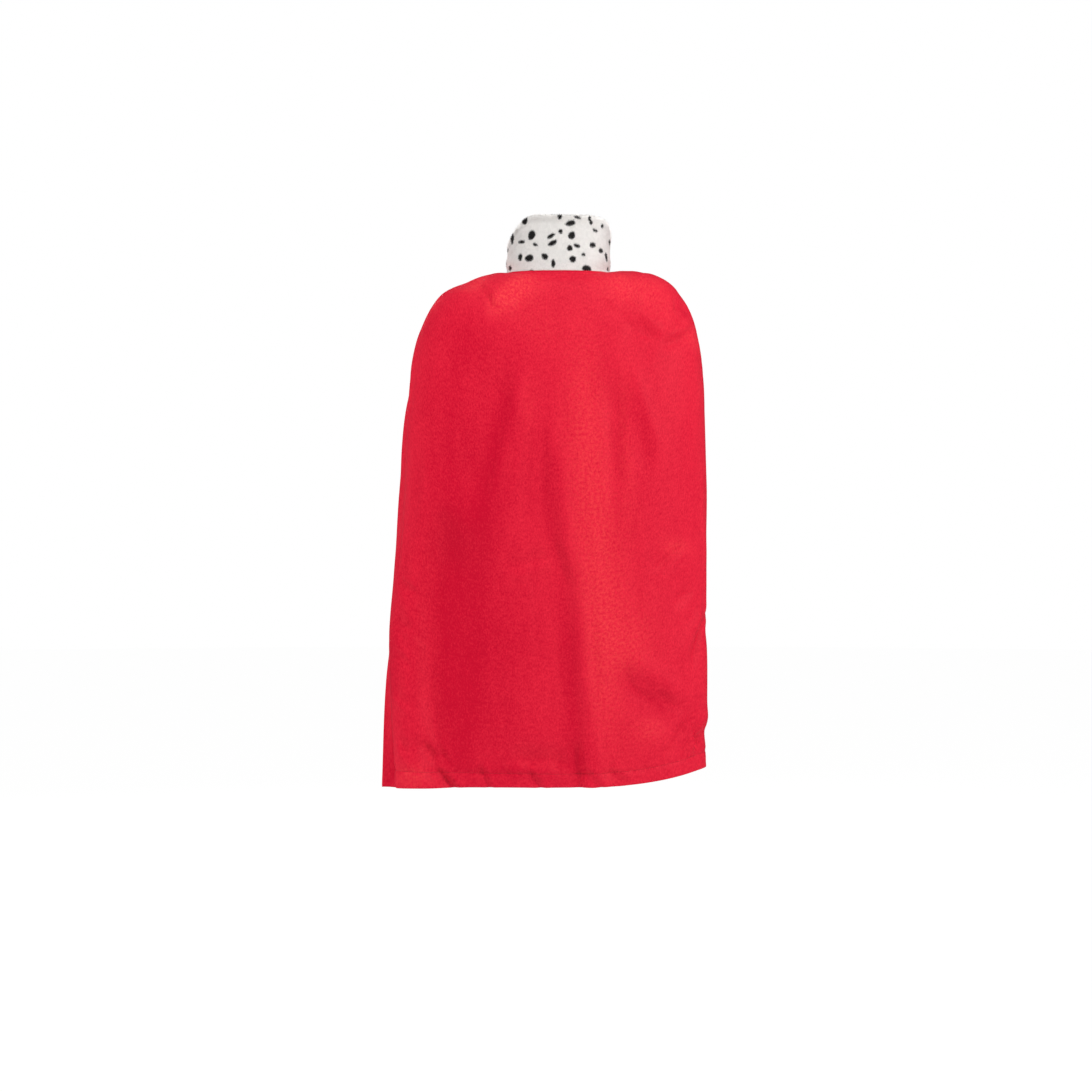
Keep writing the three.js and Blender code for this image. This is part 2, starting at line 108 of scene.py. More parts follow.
floor.visible_glossy = False

surroundings = bpy.data.worlds.new("surroundings")
surroundings.use_nodes = True
air = surroundings.node_tree
ambient = air.nodes["Background"]
ambient.inputs["Color"].default_value = WHITE
seen = node_for(air, "ShaderNodeBackground", {"Color": WHITE, "Strength": 1.0})
ray = node_for(air, "ShaderNodeLightPath")
either = node_for(air, "ShaderNodeMixShader")
ungloss = node_for(air, "ShaderNodeMath", {1: -AMBIENT, 2: AMBIENT}, operation="MULTIPLY_ADD")
wire(
    air, (ray, "Is Glossy Ray", ungloss, 0), (ungloss, "Value", ambient, "Strength"),
    (ray, "Is Camera Ray", either, "Fac"), (ambient, "Background", either, 1), (seen, "Background", either, 2),
    (either, "Shader", air.nodes["World Output"], "Surface"))
bpy.context.scene.world = surroundings


def add_lamp(name, place, aim, size, watts, glossy):
    """A round soft lamp turned to what it is aimed at. Only some of the lamps show in glossy surfaces."""
    lamp_data = bpy.data.lights.new(name, "AREA")
    lamp_data.shape = "DISK"
    lamp_data.size = size
    lamp_data.energy = watts
    lamp = bpy.data.objects.new(name, lamp_data)
    lamp.location = place
    lamp.visible_glossy = glossy
    towards = np.array(aim) - np.array(place)
    level = math.hypot(towards[0], towards[1])
    lamp.rotation_euler = (math.atan2(level, -towards[2]), 0, math.atan2(-towards[0], towards[1]))
    bpy.context.collection.objects.link(lamp)


add_lamp("key_lamp", (-2.9, 2.2, 1.0), (0, 0, -0.4), 0.8, 78.4, glossy=True)
add_lamp("top_lamp", (-0.2, 1.3, 2.0), (0, 0, -0.1), 0.8, 21.3, glossy=True)
add_lamp("fill_lamp", (3.3, 0.8, 0.2), (0, 0, -0.4), 2.2, 51.5, glossy=False)
add_lamp("front_lamp", (0.8, -2.8, 1.0), (0, 0, -0.4), 2.0, 56, glossy=False)

# Cape panel: one piece of red velour with a short nap, its top gathered onto the collar, its side edges and bottom
# turned in once and stitched. It hangs from the shoulders, open in front. Its form is the solid's own sections and
# folds, in millimetres, with the smaller creases of the cloth laid on them.
MM = 0.001
WALL = 1.6
HEM_TURN = 1.3
SIDE_HEM = 27.0
BOTTOM_HEM = 23.0
HEM_STEP = 3.0
BACK_LENGTH = 815.0
COLLAR_LEDGE = 6.0
CORNER_BLUNT = 0.45  # how far the lowest corners are drawn in, over so many lines of the mesh
CORNER_LINES = 3
STITCH_IN = 1.4  # the stitch line runs this far inside a hem's turned-in edge
SEAM_DENT = 1.2
SEAM_HALF = 2.8
HEM_FULL = 0.5  # the hem bulges this much between its stitches and its edge
STITCH_SQUEEZE = 0.7  # how much thinner the hem is at its stitches, as a share of the dent

# Centre back: share of the way down, y, z, squareness of the section's back
BACK = [
    (0.00, 69, 0, 2.0),
    (0.03, 88, -22, 2.1),
    (0.08, 101, -60, 2.3),
    (0.14, 111, -108, 2.5),
    (0.22, 118, -172, 2.7),
    (0.35, 121, -278, 2.7),
    (0.50, 118, -400, 2.6),
    (0.67, 114, -538, 2.5),
    (0.84, 112, -675, 2.5),
    (1.00, 112, -804, 2.5),
]

# Widest line of each side: share down, left x, y, z, right x, y, z
SIDE = [
    (0.00, 77, 0, 3, -77, 0, 3),
    (0.03, 103, 0, 3, -105, 0, 6.5),
    (0.08, 147, 0, -11, -150, 0, 2),
    (0.14, 190, 2, -35, -189, 2, -24),
    (0.22, 222, 5, -98, -218, 4, -84),
    (0.35, 243, 8, -208, -231, 5, -196),
    (0.50, 251, 10, -330, -233, 4, -320),
    (0.67, 261, 17, -480, -234, 2, -468),
    (0.76, 267, 30, -564, -235, 1, -548),
    (0.84, 265, 48, -640, -236, 0, -622),
    (1.00, 254, 78, -807, -233, -6, -779),
]

# Front edges: share down, left x, y, z, right x, y, z
EDGE = [
    (0.00, 11, -69, -19, -11, -69, -19),
    (0.03, 28, -84, -35, -28, -85, -34),
    (0.08, 74, -93, -56, -74, -94, -52),
    (0.14, 126, -90, -84, -124, -91, -77),
    (0.22, 166, -80, -138, -162, -84, -128),
    (0.35, 198, -64, -236, -186, -76, -224),
    (0.50, 216, -50, -354, -192, -74, -342),
    (0.67, 244, -34, -494, -190, -80, -484),
    (0.76, 265, -12, -572, -188, -84, -562),
    (0.84, 274, 16, -646, -186, -88, -632),
    (1.00, 277, 60, -807, -180, -94, -782),
]

# Main folds: depth of the trough, half widths of its steep wall at the top and at the end of the path, those of its
# gentle wall, the crest beyond the steep wall (height, how far off the trough's bottom, half width), the side that
# this wall is on (+1 is the left), and the path on the cloth, across from the centre back and down from the neck seam
FOLDS = [
    (10.5, 30, 33, 62, 72, (4, 37, 11), -1, [(82, 120), (97, 167), (106, 224), (117, 281), (133, 334), (144, 380),
                                             (153, 425)]),
    (17, 23, 20, 75, 115, (3, 46, 26), 1, [(166, 370), (186, 440), (201, 500), (208, 558), (203, 623),
                                           (199, 693), (186, 754), (173, 815)]),
    (5.8, 24, 21, 38, 42, (4.6, 29, 14), -1, [(42, 205), (38, 257), (26, 318), (22, 379), (14, 436), (-2, 493),
                                          (-6, 550), (-10, 619), (-19, 693), (-23, 750), (-27, 815)]),
    (4, 14, 15, 27, 30, (2, 30, 17), -1, [(-83, 165), (-87, 265), (-86, 375)]),
    (3.8, 16, 17, 28, 30, (3, 24, 11), -1, [(-90, 172), (-113, 249), (-132, 302), (-145, 360)]),
    (5.5, 19, 16, 34, 30, (3, 27, 14), -1, [(-78, 610), (-108, 655), (-144, 690), (-184, 722), (-216, 740)]),
    (3.6, 15, 13, 28, 25, (4, 22, 10), -1, [(-110, 104), (-140, 138), (-172, 166)]),
    (5, 12, 12, 24, 24, (2, 25, 14), 1, [(-202, 124), (-232, 144), (-274, 152)]),
    (3, 10, 9, 19, 18, (2, 20, 11), 1, [(-146, 497), (-178, 489), (-212, 481)]),
    (3, 10, 9, 19, 18, (2, 20, 11), 1, [(-186, 560), (-232, 563)]),
    (3, 11, 10, 20, 19, (1.5, 22, 12), 1, [(272, 540), (240, 550)]),
    (4, 12, 11, 22, 20, (2, 24, 14), 1, [(276, 597), (240, 618)]),
    (4, 11, 10, 20, 19, (2, 22, 12), 1, [(232, 750), (192, 792)]),
    (9, 18, 20, 35, 40, (4, 40, 23), 1, [(-322, 300), (-318, 420), (-306, 540), (-300, 660), (-304, 815)]),
    (5, 11, 11, 20, 20, (3, 23, 13), 1, [(-284, 608), (-236, 636), (-212, 672)]),
    (4, 10, 10, 18, 18, (2, 21, 12), 1, [(-292, 764), (-232, 776), (-220, 794)]),
    (8, 16, 16, 32, 32, (3, 33, 19), 1, [(318, 190), (310, 300), (300, 420), (290, 530)]),
    (5, 15, 15, 30, 30, (3, 32, 18), -1, [(-352, 100), (-360, 190), (-366, 270)]),
    (6, 12, 14, 24, 27, (3, 27, 16), 1, [(330, 64), (352, 130), (350, 196)]),
]
FADE = 0.3  # share of a fold's path that it fades in and out over

# Small creases in groups of one width. A group's half widths are those of the steep wall at both ends, those of the
# gentle wall, how far off the crest is, and its half width. Each crease has its depth, its crest's height, the side
# of its steep wall, and its path
CREASES = [
    ((4, 4, 7, 7, 8, 5), [
        (1.7, 1.2, -1, [(122, 60), (106, 76), (90, 88)]),
    ]),
    ((4, 4, 8, 8, 8, 5), [
        (1.8, 2.1, -1, [(-164, 164), (-206, 170), (-250, 174)]),
        (1.5, 0.9, 1, [(-205, 132), (-232, 140), (-262, 146)]),
        (1.2, 0.9, 1, [(70, 44), (66, 66), (74, 92)]),
        (1.4, 0.9, 1, [(-166, 516), (-196, 508), (-222, 506)]),
        (1.5, 1.0, 1, [(-186, 561), (-214, 560), (-240, 566)]),
        (1.7, 1.2, -1, [(-222, 790), (-236, 770), (-262, 752)]),
        (1.8, 1.4, 1, [(-226, 756), (-236, 776), (-238, 792)]),
        (1.4, 0.9, 1, [(-150, 680), (-182, 712), (-216, 728)]),
        (2.0, 1.4, -1, [(270, 545), (246, 545), (226, 552)]),
        (1.8, 1.2, 1, [(268, 600), (240, 604), (206, 624)]),
        (1.4, 1.0, -1, [(268, 640), (246, 648), (230, 660)]),
        (1.7, 1.2, 1, [(266, 690), (250, 704), (226, 712)]),
        (2.1, 1.5, 1, [(222, 752), (200, 772), (182, 792)]),
        (1.5, 1.0, -1, [(200, 744), (186, 764), (170, 784)]),
    ]),
    ((4, 4, 9, 8, 8, 5), [
        (1.8, 1.2, 1, [(215, 90), (173, 73), (138, 66)]),
        (2, 1.4, -1, [(156, 48), (117, 69), (96, 98)]),
    ]),
    ((5, 4, 9, 7, 10, 5), [
        (3.4, 1.8, -1, [(126, 782), (117, 798), (108, 815)]),
        (3.4, 1.8, -1, [(-35, 786), (-49, 799), (-64, 815)]),
        (3.6, 2, 1, [(248, 752), (241, 766), (238, 778)]),
        (2.6, 1.4, -1, [(-74, 788), (-94, 803), (-108, 812)]),
    ]),
    ((5, 4, 9, 8, 10, 5), [
        (3.4, 2, 1, [(-210, 722), (-228, 758), (-238, 792)]),
    ]),
    ((5, 4, 10, 8, 10, 5), [
        (3.8, 2.2, -1, [(52, 780), (40, 798), (28, 815)]),
        (2.6, 1.8, -1, [(-160, 151), (-187, 170), (-221, 179), (-262, 178)]),
        (2, 1.2, -1, [(-58, 52), (-103, 102), (-136, 138)]),
        (2, 1.2, 1, [(-90, 46), (-138, 98), (-184, 146)]),
    ]),
    ((5, 5, 9, 8, 10, 5), [
        (3.4, 2, 1, [(-196, 798), (-216, 770), (-240, 748)]),
    ]),
    ((5, 5, 9, 9, 10, 6), [
        (2.4, 1.5, 1, [(-128, 126), (-150, 144), (-172, 158)]),
        (1.4, 0.8, 1, [(-96, 60), (-104, 92), (-118, 118)]),
        (1.5, 0.9, -1, [(-150, 500), (-180, 489), (-214, 478)]),
        (2.0, 1.2, 1, [(-240, 640), (-262, 618), (-286, 600)]),
        (1.8, 1.2, -1, [(-96, 640), (-122, 676), (-160, 706)]),
        (1.0, 0.8, 1, [(4, 560), (-4, 640), (-8, 720)]),
        (1.4, 0.9, -1, [(284, 420), (276, 480), (270, 540)]),
        (1.4, 0.9, -1, [(-330, 560), (-334, 640), (-328, 720)]),
        (1.2, 0.9, 1, [(-272, 380), (-268, 450), (-276, 520)]),
        (1.8, 1.2, -1, [(300, 50), (330, 84), (352, 110)]),
        (1.7, 1.0, 1, [(-296, 46), (-330, 76), (-356, 104)]),
    ]),
    ((6, 5, 11, 9, 12, 6), [
        (4.6, 2.6, -1, [(206, 780), (188, 797), (165, 815)]),
        (3.8, 2.4, -1, [(-27, 735), (-29, 770), (-33, 795), (-33, 815)]),
        (4.4, 2.4, -1, [(216, 752), (204, 766), (190, 776)]),
        (3.6, 2.2, -1, [(-160, 790), (-192, 754), (-220, 734)]),
    ]),
    ((6, 5, 12, 10, 13, 7), [
        (3, 1.8, 1, [(-262, 560), (-246, 630), (-214, 690)]),
    ]),
    ((6, 6, 11, 11, 13, 7), [
        (1.4, 0.8, 1, [(46, 420), (38, 500), (34, 590), (30, 660)]),
        (1.2, 0.9, -1, [(-44, 470), (-50, 540), (-56, 630), (-62, 720)]),
        (1.2, 0.8, -1, [(228, 330), (236, 400), (240, 470)]),
        (1.4, 0.9, 1, [(254, 180), (262, 250), (262, 320)]),
        (1.8, 1.2, -1, [(300, 150), (306, 200), (300, 260)]),
        (1.5, 0.9, 1, [(330, 240), (322, 330), (312, 400)]),
        (2.0, 1.2, 1, [(-286, 180), (-300, 240), (-304, 310)]),
        (1.5, 1.0, -1, [(-338, 160), (-342, 230), (-340, 300)]),
        (1.7, 1.0, 1, [(-352, 380), (-350, 460), (-344, 540)]),
        (1.0, 0.6, 1, [(30, 90), (44, 130), (50, 176)]),
    ]),
    ((6, 6, 12, 12, 13, 7), [
        (1.4, 0.8, 1, [(138, 330), (168, 420), (196, 500), (204, 590)]),
        (1.2, 0.8, -1, [(60, 220), (72, 300), (86, 372)]),
        (1.2, 0.8, 1, [(100, 560), (96, 640), (92, 730)]),
        (1.0, 0.6, -1, [(-40, 120), (-46, 180), (-44, 240)]),
        (0.9, 0.6, 1, [(-66, 380), (-70, 450), (-76, 520)]),
        (1.0, 0.6, -1, [(-118, 420), (-124, 500), (-120, 580)]),
    ]),
    ((6, 6, 12, 12, 13, 8), [
        (1.1, 0.7, -1, [(-96, 180), (-96, 281), (-92, 400)]),
        (1, 0.6, 1, [(-76, 170), (-80, 293), (-80, 420)]),
        (1.8, 1, -1, [(44, 250), (46, 338), (48, 440)]),
        (1.8, 1, -1, [(20, 210), (25, 306), (28, 410)]),
        (1.3, 0.8, -1, [(16, 410), (-4, 460), (-20, 515)]),
    ]),
    ((8, 7, 22, 18, 17, 9), [
        (6.5, 2.6, 1, [(86, 766), (46, 774), (12, 774), (-8, 782), (-30, 794)]),
    ]),
    ((8, 8, 16, 14, 16, 9), [
        (3, 1.6, 1, [(84, 478), (43, 462), (14, 446)]),
    ]),
]

# Gathers below the neck seam: across at the seam, depth, length down the cloth, drift sideways
GATHERS = [
    (-196, 2.4, 95, -40),
    (-172, 2.0, 70, -30),
    (-150, 2.8, 105, -34),
    (-124, 2.2, 80, -26),
    (-98, 2.6, 90, -20),
    (-74, 1.6, 60, -12),
    (78, 2.0, 75, 14),
    (104, 2.6, 95, 22),
    (130, 2.0, 70, 26),
    (154, 2.8, 100, 34),
    (180, 2.2, 80, 36),
    (203, 2.4, 90, 42),
]
GATHER_HALF = 8.0
FAN = 0.75  # gathers and tucks lie this share further apart below the seam
FAN_WITHIN = 30.0
GATHER_FULL_AT = 18.0
GATHER_WIDENS = 1.2
GATHER_CREST = (0.6, 1.6)  # crest beside a gather: its height and its distance, as shares of depth and half width

# Tucks of the gathering thread, between the gathers: across at the seam, depth, length, drift
TUCKS = [
    (-210, 0.7, 26, -10), (-185, 0.9, 34, -9), (-161, 0.6, 22, -8), (-137, 0.8, 30, -6), (-111, 0.7, 24, -6),
    (-86, 0.8, 32, -5), (-62, 0.7, 36, -4), (-49, 0.5, 20, -2), (-33, 0.6, 28, -2), (-18, 0.4, 18, -1),
    (-4, 0.5, 24, 0), (13, 0.4, 18, 1), (29, 0.6, 26, 2), (44, 0.5, 20, 2), (60, 0.8, 38, 4),
    (91, 0.8, 30, 5), (117, 0.7, 26, 6), (142, 0.9, 32, 7), (167, 0.6, 24, 8), (192, 0.8, 30, 9),
    (213, 0.7, 24, 10),
]
TUCK_HALF = 3.6

HALF_COLUMNS = 86
ROWS_APART = 4.3
FIRST_ROW = 6.0  # the first row of the panel below the ledge that meets the collar
SECTION_POINTS = 160


def smooth_rows(rows, at):
    """All columns of a table at places along its first column, on smooth curves through its rows."""
    table = np.array(rows, float)
    key, values = table[:, 0], table[:, 1:]
    slopes = np.empty_like(values)
    slopes[1:-1] = (values[2:] - values[:-2]) / (key[2:] - key[:-2])[:, None]
    slopes[0] = (values[1] - values[0]) / (key[1] - key[0])
    slopes[-1] = (values[-1] - values[-2]) / (key[-1] - key[-2])
    at = np.atleast_1d(np.asarray(at, float))
    k = np.clip(np.searchsorted(key, at, side="right") - 1, 0, len(key) - 2)
    span = (key[k + 1] - key[k])[:, None]
    t = (at - key[k])[:, None] / span
    return (
        (1 + 2 * t) * (1 - t) ** 2 * values[k]
        + t * (1 - t) ** 2 * span * slopes[k]
        + t * t * (3 - 2 * t) * values[k + 1]
        + t * t * (t - 1) * span * slopes[k + 1]
    )


def half_sections(downs, side):
    """The cape's level curves on one side, each from the centre back to the front edge."""
    first = 0 if side > 0 else 3
    by, bz, square = (column[:, None] for column in smooth_rows(BACK, downs).T)
    sx, sy, sz = (column[:, None] for column in smooth_rows(SIDE, downs)[:, first:first + 3].T)
    ex, ey, ez = (column[:, None] for column in smooth_rows(EDGE, downs)[:, first:first + 3].T)
    turn = np.linspace(0, math.pi / 2, SECTION_POINTS + 1)[None, :]
    out = np.sin(turn) ** (2 / square)
    rear = np.clip(np.cos(turn), 0, 1) ** (2 / square)
    back = np.stack([sx * out, sy + (by - sy) * rear, bz + (sz - bz) * np.sin(turn) ** 2], axis=2)
    turn = np.linspace(0, math.pi / 2, SECTION_POINTS // 2 + 1)[None, 1:]
    front = np.stack(
        [ex + (sx - ex) * np.cos(turn), sy + (ey - sy) * np.sin(turn), sz + (ez - sz) * (1 - np.cos(turn))],
        axis=2,
    )
    return np.concatenate([back, front], axis=1)


def run_along(line):
    """Running length at each point of a line."""
    return np.concatenate([[0], np.cumsum(np.linalg.norm(np.diff(line, axis=0), axis=1))])


def rows_at(places, run, values):
    """Rows of three values, read off between known places along a run."""
    return np.stack([np.interp(places, run, values[:, k]) for k in range(3)], axis=1)


def points_at(line, places):
    """Points at running lengths along a line."""
    return rows_at(places, run_along(line), line)


def hem_lines(hem, between):
    """Lines of the mesh along a hem, as distances in from its edge, close together at the edge and the stitches."""
    stitches = hem - STITCH_IN
    return np.array([0, 0.5, 1.5, *between, stitches - 1.2, stitches, hem - 0.2, hem + HEM_STEP])


SIDE_LINES = hem_lines(SIDE_HEM, (4, 8, 12, 16, 20, 23))
BOTTOM_LINES = hem_lines(BOTTOM_HEM, (4, 7.5, 11, 14.5, 18))


def panel_rows(downs):
    """Rows of points on the plain form from the right front edge to the left, with their places on the cloth."""
    points, across, from_edge = [], [], []
    for sections in zip(half_sections(downs, -1), half_sections(downs, 1)):
        row_points, row_across, row_edge = [], [], []
        for side, section in zip((-1, 1), sections):
            half = run_along(section)[-1]
            places = np.linspace(0, half - SIDE_LINES[-1], HALF_COLUMNS + 1)
            places = np.concatenate([places, half - SIDE_LINES[-2::-1]])
            half_points = points_at(section, places)
            order = slice(None, None, -1) if side < 0 else slice(1, None)
            row_points.append(half_points[order])
            row_across.append(side * places[order])
            row_edge.append((half - places)[order])
        points.append(np.concatenate(row_points))
        across.append(np.concatenate(row_across))
        from_edge.append(np.concatenate(row_edge))
    return np.array(points), np.array(across), np.array(from_edge)


def unit(vectors):
    """The same directions at length one."""
    return vectors / np.linalg.norm(vectors, axis=-1, keepdims=True)


def level_outward(ring):
    """Level directions away from the neck along the neck ring."""
    along = np.gradient(ring, axis=0)
    return unit(np.stack([-along[:, 1], along[:, 0], np.zeros(len(ring))], axis=1))


def grid_normals(grid):
    """Unit normals of a grid of points, away from the hollow inside the cape."""
    return unit(np.cross(np.gradient(grid, axis=1), np.gradient(grid, axis=0)))


def bell(x):
    """A hump of height 1 round 0."""
    return np.exp(-x * x)


def ease(x):
    """A rise from 0 to 1 that is slow at both ends."""
    x = np.clip(x, 0, 1)
    return x * x * (3 - 2 * x)


def fold_height(fold, across, down):
    """A trough with a crest beside it, full in its middle and fading at its ends, save at one that leaves the hem."""
    depth, steep_top, steep_end, gentle_top, gentle_end, crest, crest_side, path = fold
    path = np.array(path, float)
    steps = np.linalg.norm(np.diff(path, axis=0), axis=1)
    apart = np.full(across.shape, np.inf)
    side = np.ones(across.shape)
    share = np.zeros(across.shape)
    before = 0.0
    for start, end, step in zip(path[:-1], path[1:], steps):
        on_x, on_d = end - start
        t = np.clip(((across - start[0]) * on_x + (down - start[1]) * on_d) / step**2, 0, 1)
        off_x = across - start[0] - t * on_x
        off_d = down - start[1] - t * on_d
        distance = np.hypot(off_x, off_d)
        nearer = distance < apart
        side = np.where(nearer, np.where(on_d * off_x - on_x * off_d < 0, -1, 1), side)
        share = np.where(nearer, (before + t * step) / steps.sum(), share)
        apart = np.minimum(apart, distance)
        before += step
    fade = ease(share / FADE)
    if path[-1][1] < BACK_LENGTH:
        fade = fade * ease((1 - share) / FADE)
    steep = steep_top + (steep_end - steep_top) * share
    gentle = gentle_top + (gentle_end - gentle_top) * share
    towards_crest = side * crest_side * apart
    trough = -depth * bell(apart / np.where(towards_crest > 0, steep, gentle))
    crest_height, crest_off, crest_half = crest
    ridge = crest_height * bell((towards_crest - crest_off) / crest_half)
    return (trough + ridge) * fade


def gather_height(gathers, half_width, across, down):
    """Small folds that fan out from the neck seam and fade down the cloth."""
    height = np.zeros(across.shape)
    for at_seam, depth, length, drift in gathers:
        t = np.clip(down / length, 0, 1)
        spread = 1 + FAN * np.minimum(down / FAN_WITHIN, 1)
        apart = (across - at_seam * spread - drift * t) / (half_width * (1 + GATHER_WIDENS * t))
        crest = GATHER_CREST[0] * bell(apart - GATHER_CREST[1])
        height += depth * np.minimum(down / GATHER_FULL_AT, 1) * (1 - t) * (crest - bell(apart))
    return height


# Puckers that the stitching draws in the hems: place along the hem, slant, half width, depth. Those of the bottom
# hem are placed across the cloth, those of the side hems down it.
PUCKER_SLANT = (-0.9, 0.9)
PUCKER_HALF = (3.0, 6.4)
PUCKER_DEEP = (0.3, 1.5)
PUCKER_GAPS = (0.55, 1.6)  # uneven gaps, as shares of the mean one
PUCKER_AT = (0.35, 0.8, 0.75)  # full from, middle and reach of a pucker up the hem, as shares of the hem's width
PUCKERS_END = 20.0  # puckers fade out this far from the hem's corners
pucker_rng = np.random.default_rng(23)


def draw_puckers(start, end, spacing):
    """Uneven puckers along a hem between two places."""
    rows, at = [], start
    while at < end:
        rows.append((at, *(pucker_rng.uniform(*span) for span in (PUCKER_SLANT, PUCKER_HALF, PUCKER_DEEP))))
        at += spacing * pucker_rng.uniform(*PUCKER_GAPS)
    return rows


BOTTOM_PUCKERS = draw_puckers(-400, 340, 13)
LEFT_PUCKERS = draw_puckers(20, 800, 15)
RIGHT_PUCKERS = draw_puckers(20, 800, 15)


def pucker_height(puckers, along, up, hem):
    """Slanting dimples astride a hem's stitch line, along the hem and fading away from the stitches."""
    height = np.zeros(along.shape)
    full_from, middle, reach = (share * hem for share in PUCKER_AT)
    near = np.where(up < hem, ease(up / full_from), 1) * bell((up - middle) / reach)
    for at, slant, half_width, depth in puckers:
        height -= depth * near * bell((along - at - slant * (up - hem)) / half_width)
    return height


def row_shares():
    """Rows down the cloth after the ledge: even ones, then the bottom hem's lines."""
    last = 1 - BOTTOM_LINES[-1] / BACK_LENGTH
    first = FIRST_ROW / BACK_LENGTH
    even = np.linspace(first, last, round((last - first) * BACK_LENGTH / ROWS_APART))
    return np.concatenate([even, 1 - BOTTOM_LINES[-2::-1] / BACK_LENGTH])


def hem_edge(distance):
    """How far a hem's face draws back close to its folded edge."""
    radius = (WALL + HEM_TURN) / 2
    near = np.clip(1 - distance / radius, 0, 1)
    return radius * (1 - np.sqrt(1 - near * near))


downs = row_shares()
plain, across, from_edge = panel_rows(np.concatenate([[0, 0, 0], downs]))
outward = level_outward(plain[0])
for row, out in enumerate((-COLLAR_LEDGE, 0, COLLAR_LEDGE)):
    plain[row] = plain[row] + outward * out
cloth_down = np.concatenate([[0, 0, 0], downs * BACK_LENGTH])[:, None] * np.ones(across.shape)
from_hem = BACK_LENGTH - cloth_down

height = gather_height(GATHERS, GATHER_HALF, across, cloth_down)
height += gather_height(TUCKS, TUCK_HALF, across, cloth_down)
for fold in FOLDS:
    height += fold_height(fold, across, cloth_down)
for (*half_widths, crest_off, crest_half), creases in CREASES:
    for depth, crest_height, side, path in creases:
        crease = (depth, *half_widths, (crest_height, crest_off, crest_half), side, path)
        height += fold_height(crease, across, cloth_down)
height += pucker_height(BOTTOM_PUCKERS, across, from_hem, BOTTOM_HEM) * ease(from_edge / PUCKERS_END)
side_puckers = np.where(
    across > 0,
    pucker_height(LEFT_PUCKERS, cloth_down, from_edge, SIDE_HEM),
    pucker_height(RIGHT_PUCKERS, cloth_down, from_edge, SIDE_HEM),
)
height += side_puckers * ease(from_hem / PUCKERS_END)
seam_off = np.minimum(
    np.where(from_hem > BOTTOM_HEM - STITCH_IN - 1, np.abs(from_edge - SIDE_HEM + STITCH_IN), np.inf),
    np.where(from_edge > SIDE_HEM - STITCH_IN - 1, np.abs(from_hem - BOTTOM_HEM + STITCH_IN), np.inf),
)
seam_dent = SEAM_DENT * bell(seam_off / SEAM_HALF)
for distance, hem in ((from_hem, BOTTOM_HEM), (from_edge, SIDE_HEM)):
    height += HEM_FULL * np.sin(math.pi * np.clip(distance / (hem - STITCH_IN), 0, 1))
height[:3] = 0

plain_normals = grid_normals(plain)
for beside, corner in ((1, 0), (-2, -1)):
    for line in range(CORNER_LINES):
        share = CORNER_BLUNT * (1 - line / CORNER_LINES)
        at_corner = plain[-1 - line, corner]
        nearby = (plain[-1 - line, beside] + plain[-2 - line, corner]) / 2
        plain[-1 - line, corner] = at_corner + share * (nearby - at_corner)
middle_face = plain + plain_normals * height[:, :, None]
cloth_normals = grid_normals(middle_face)
drawn_in = np.maximum(hem_edge(from_edge), hem_edge(from_hem))
outer_face = middle_face - cloth_normals * (seam_dent + drawn_in)[:, :, None]
in_hem = (from_edge < SIDE_HEM) | (from_hem < BOTTOM_HEM)
thick = WALL + np.where(in_hem, HEM_TURN, 0) - STITCH_SQUEEZE * seam_dent - drawn_in
inner_normals = cloth_normals.copy()
inner_normals[:3] = (0, 0, 1)
inner_face = middle_face - inner_normals * thick[:, :, None]


def walled_faces(rows, columns):
    """Faces of a closed wall between an outer grid and an inner one: outer faces, inner faces, rim faces."""
    number = np.arange(rows * columns).reshape(rows, columns)
    inner = number + rows * columns
    quads = [number[:-1, :-1], number[:-1, 1:], number[1:, 1:], number[1:, :-1]]
    outer_quads = np.stack([q.ravel() for q in quads], axis=1)
    inner_quads = np.stack([q.ravel() + rows * columns for q in (quads[0], quads[3], quads[2], quads[1])], axis=1)
    rims = [
        np.stack([number[0, :-1], inner[0, :-1], inner[0, 1:], number[0, 1:]], axis=1),
        np.stack([number[-1, :-1], number[-1, 1:], inner[-1, 1:], inner[-1, :-1]], axis=1),
        np.stack([number[:-1, 0], number[1:, 0], inner[1:, 0], inner[:-1, 0]], axis=1),
        np.stack([number[:-1, -1], inner[:-1, -1], inner[1:, -1], number[1:, -1]], axis=1),
    ]
    return outer_quads, inner_quads, np.concatenate(rims)


def add_piece(name, points, faces, uv=None, materials=(), face_materials=None, marks=None):
    """A smooth mesh from points in millimetres, with an optional UV place and named marks for each point."""
    mesh = bpy.data.meshes.new(name)
    mesh.from_pydata((np.asarray(points) * MM).tolist(), [], np.asarray(faces).tolist())
    if uv is not None:
        corner = np.empty(len(mesh.loops), dtype=np.int32)
        mesh.loops.foreach_get("vertex_index", corner)
        mesh.uv_layers.new(name="cloth").data.foreach_set("uv", (uv[corner] * MM).astype(np.float32).ravel())
    for mark, values in (marks or {}).items():
        mesh.attributes.new(mark, "FLOAT", "POINT").data.foreach_set("value", np.asarray(values, np.float32))
    for material in materials:
        mesh.materials.append(material)
    if face_materials is not None:
        mesh.polygons.foreach_set("material_index", face_materials.astype(np.int32))
    mesh.shade_smooth()
    mesh.update()
    piece = bpy.data.objects.new(name, mesh)
    bpy.context.collection.objects.link(piece)
    return piece


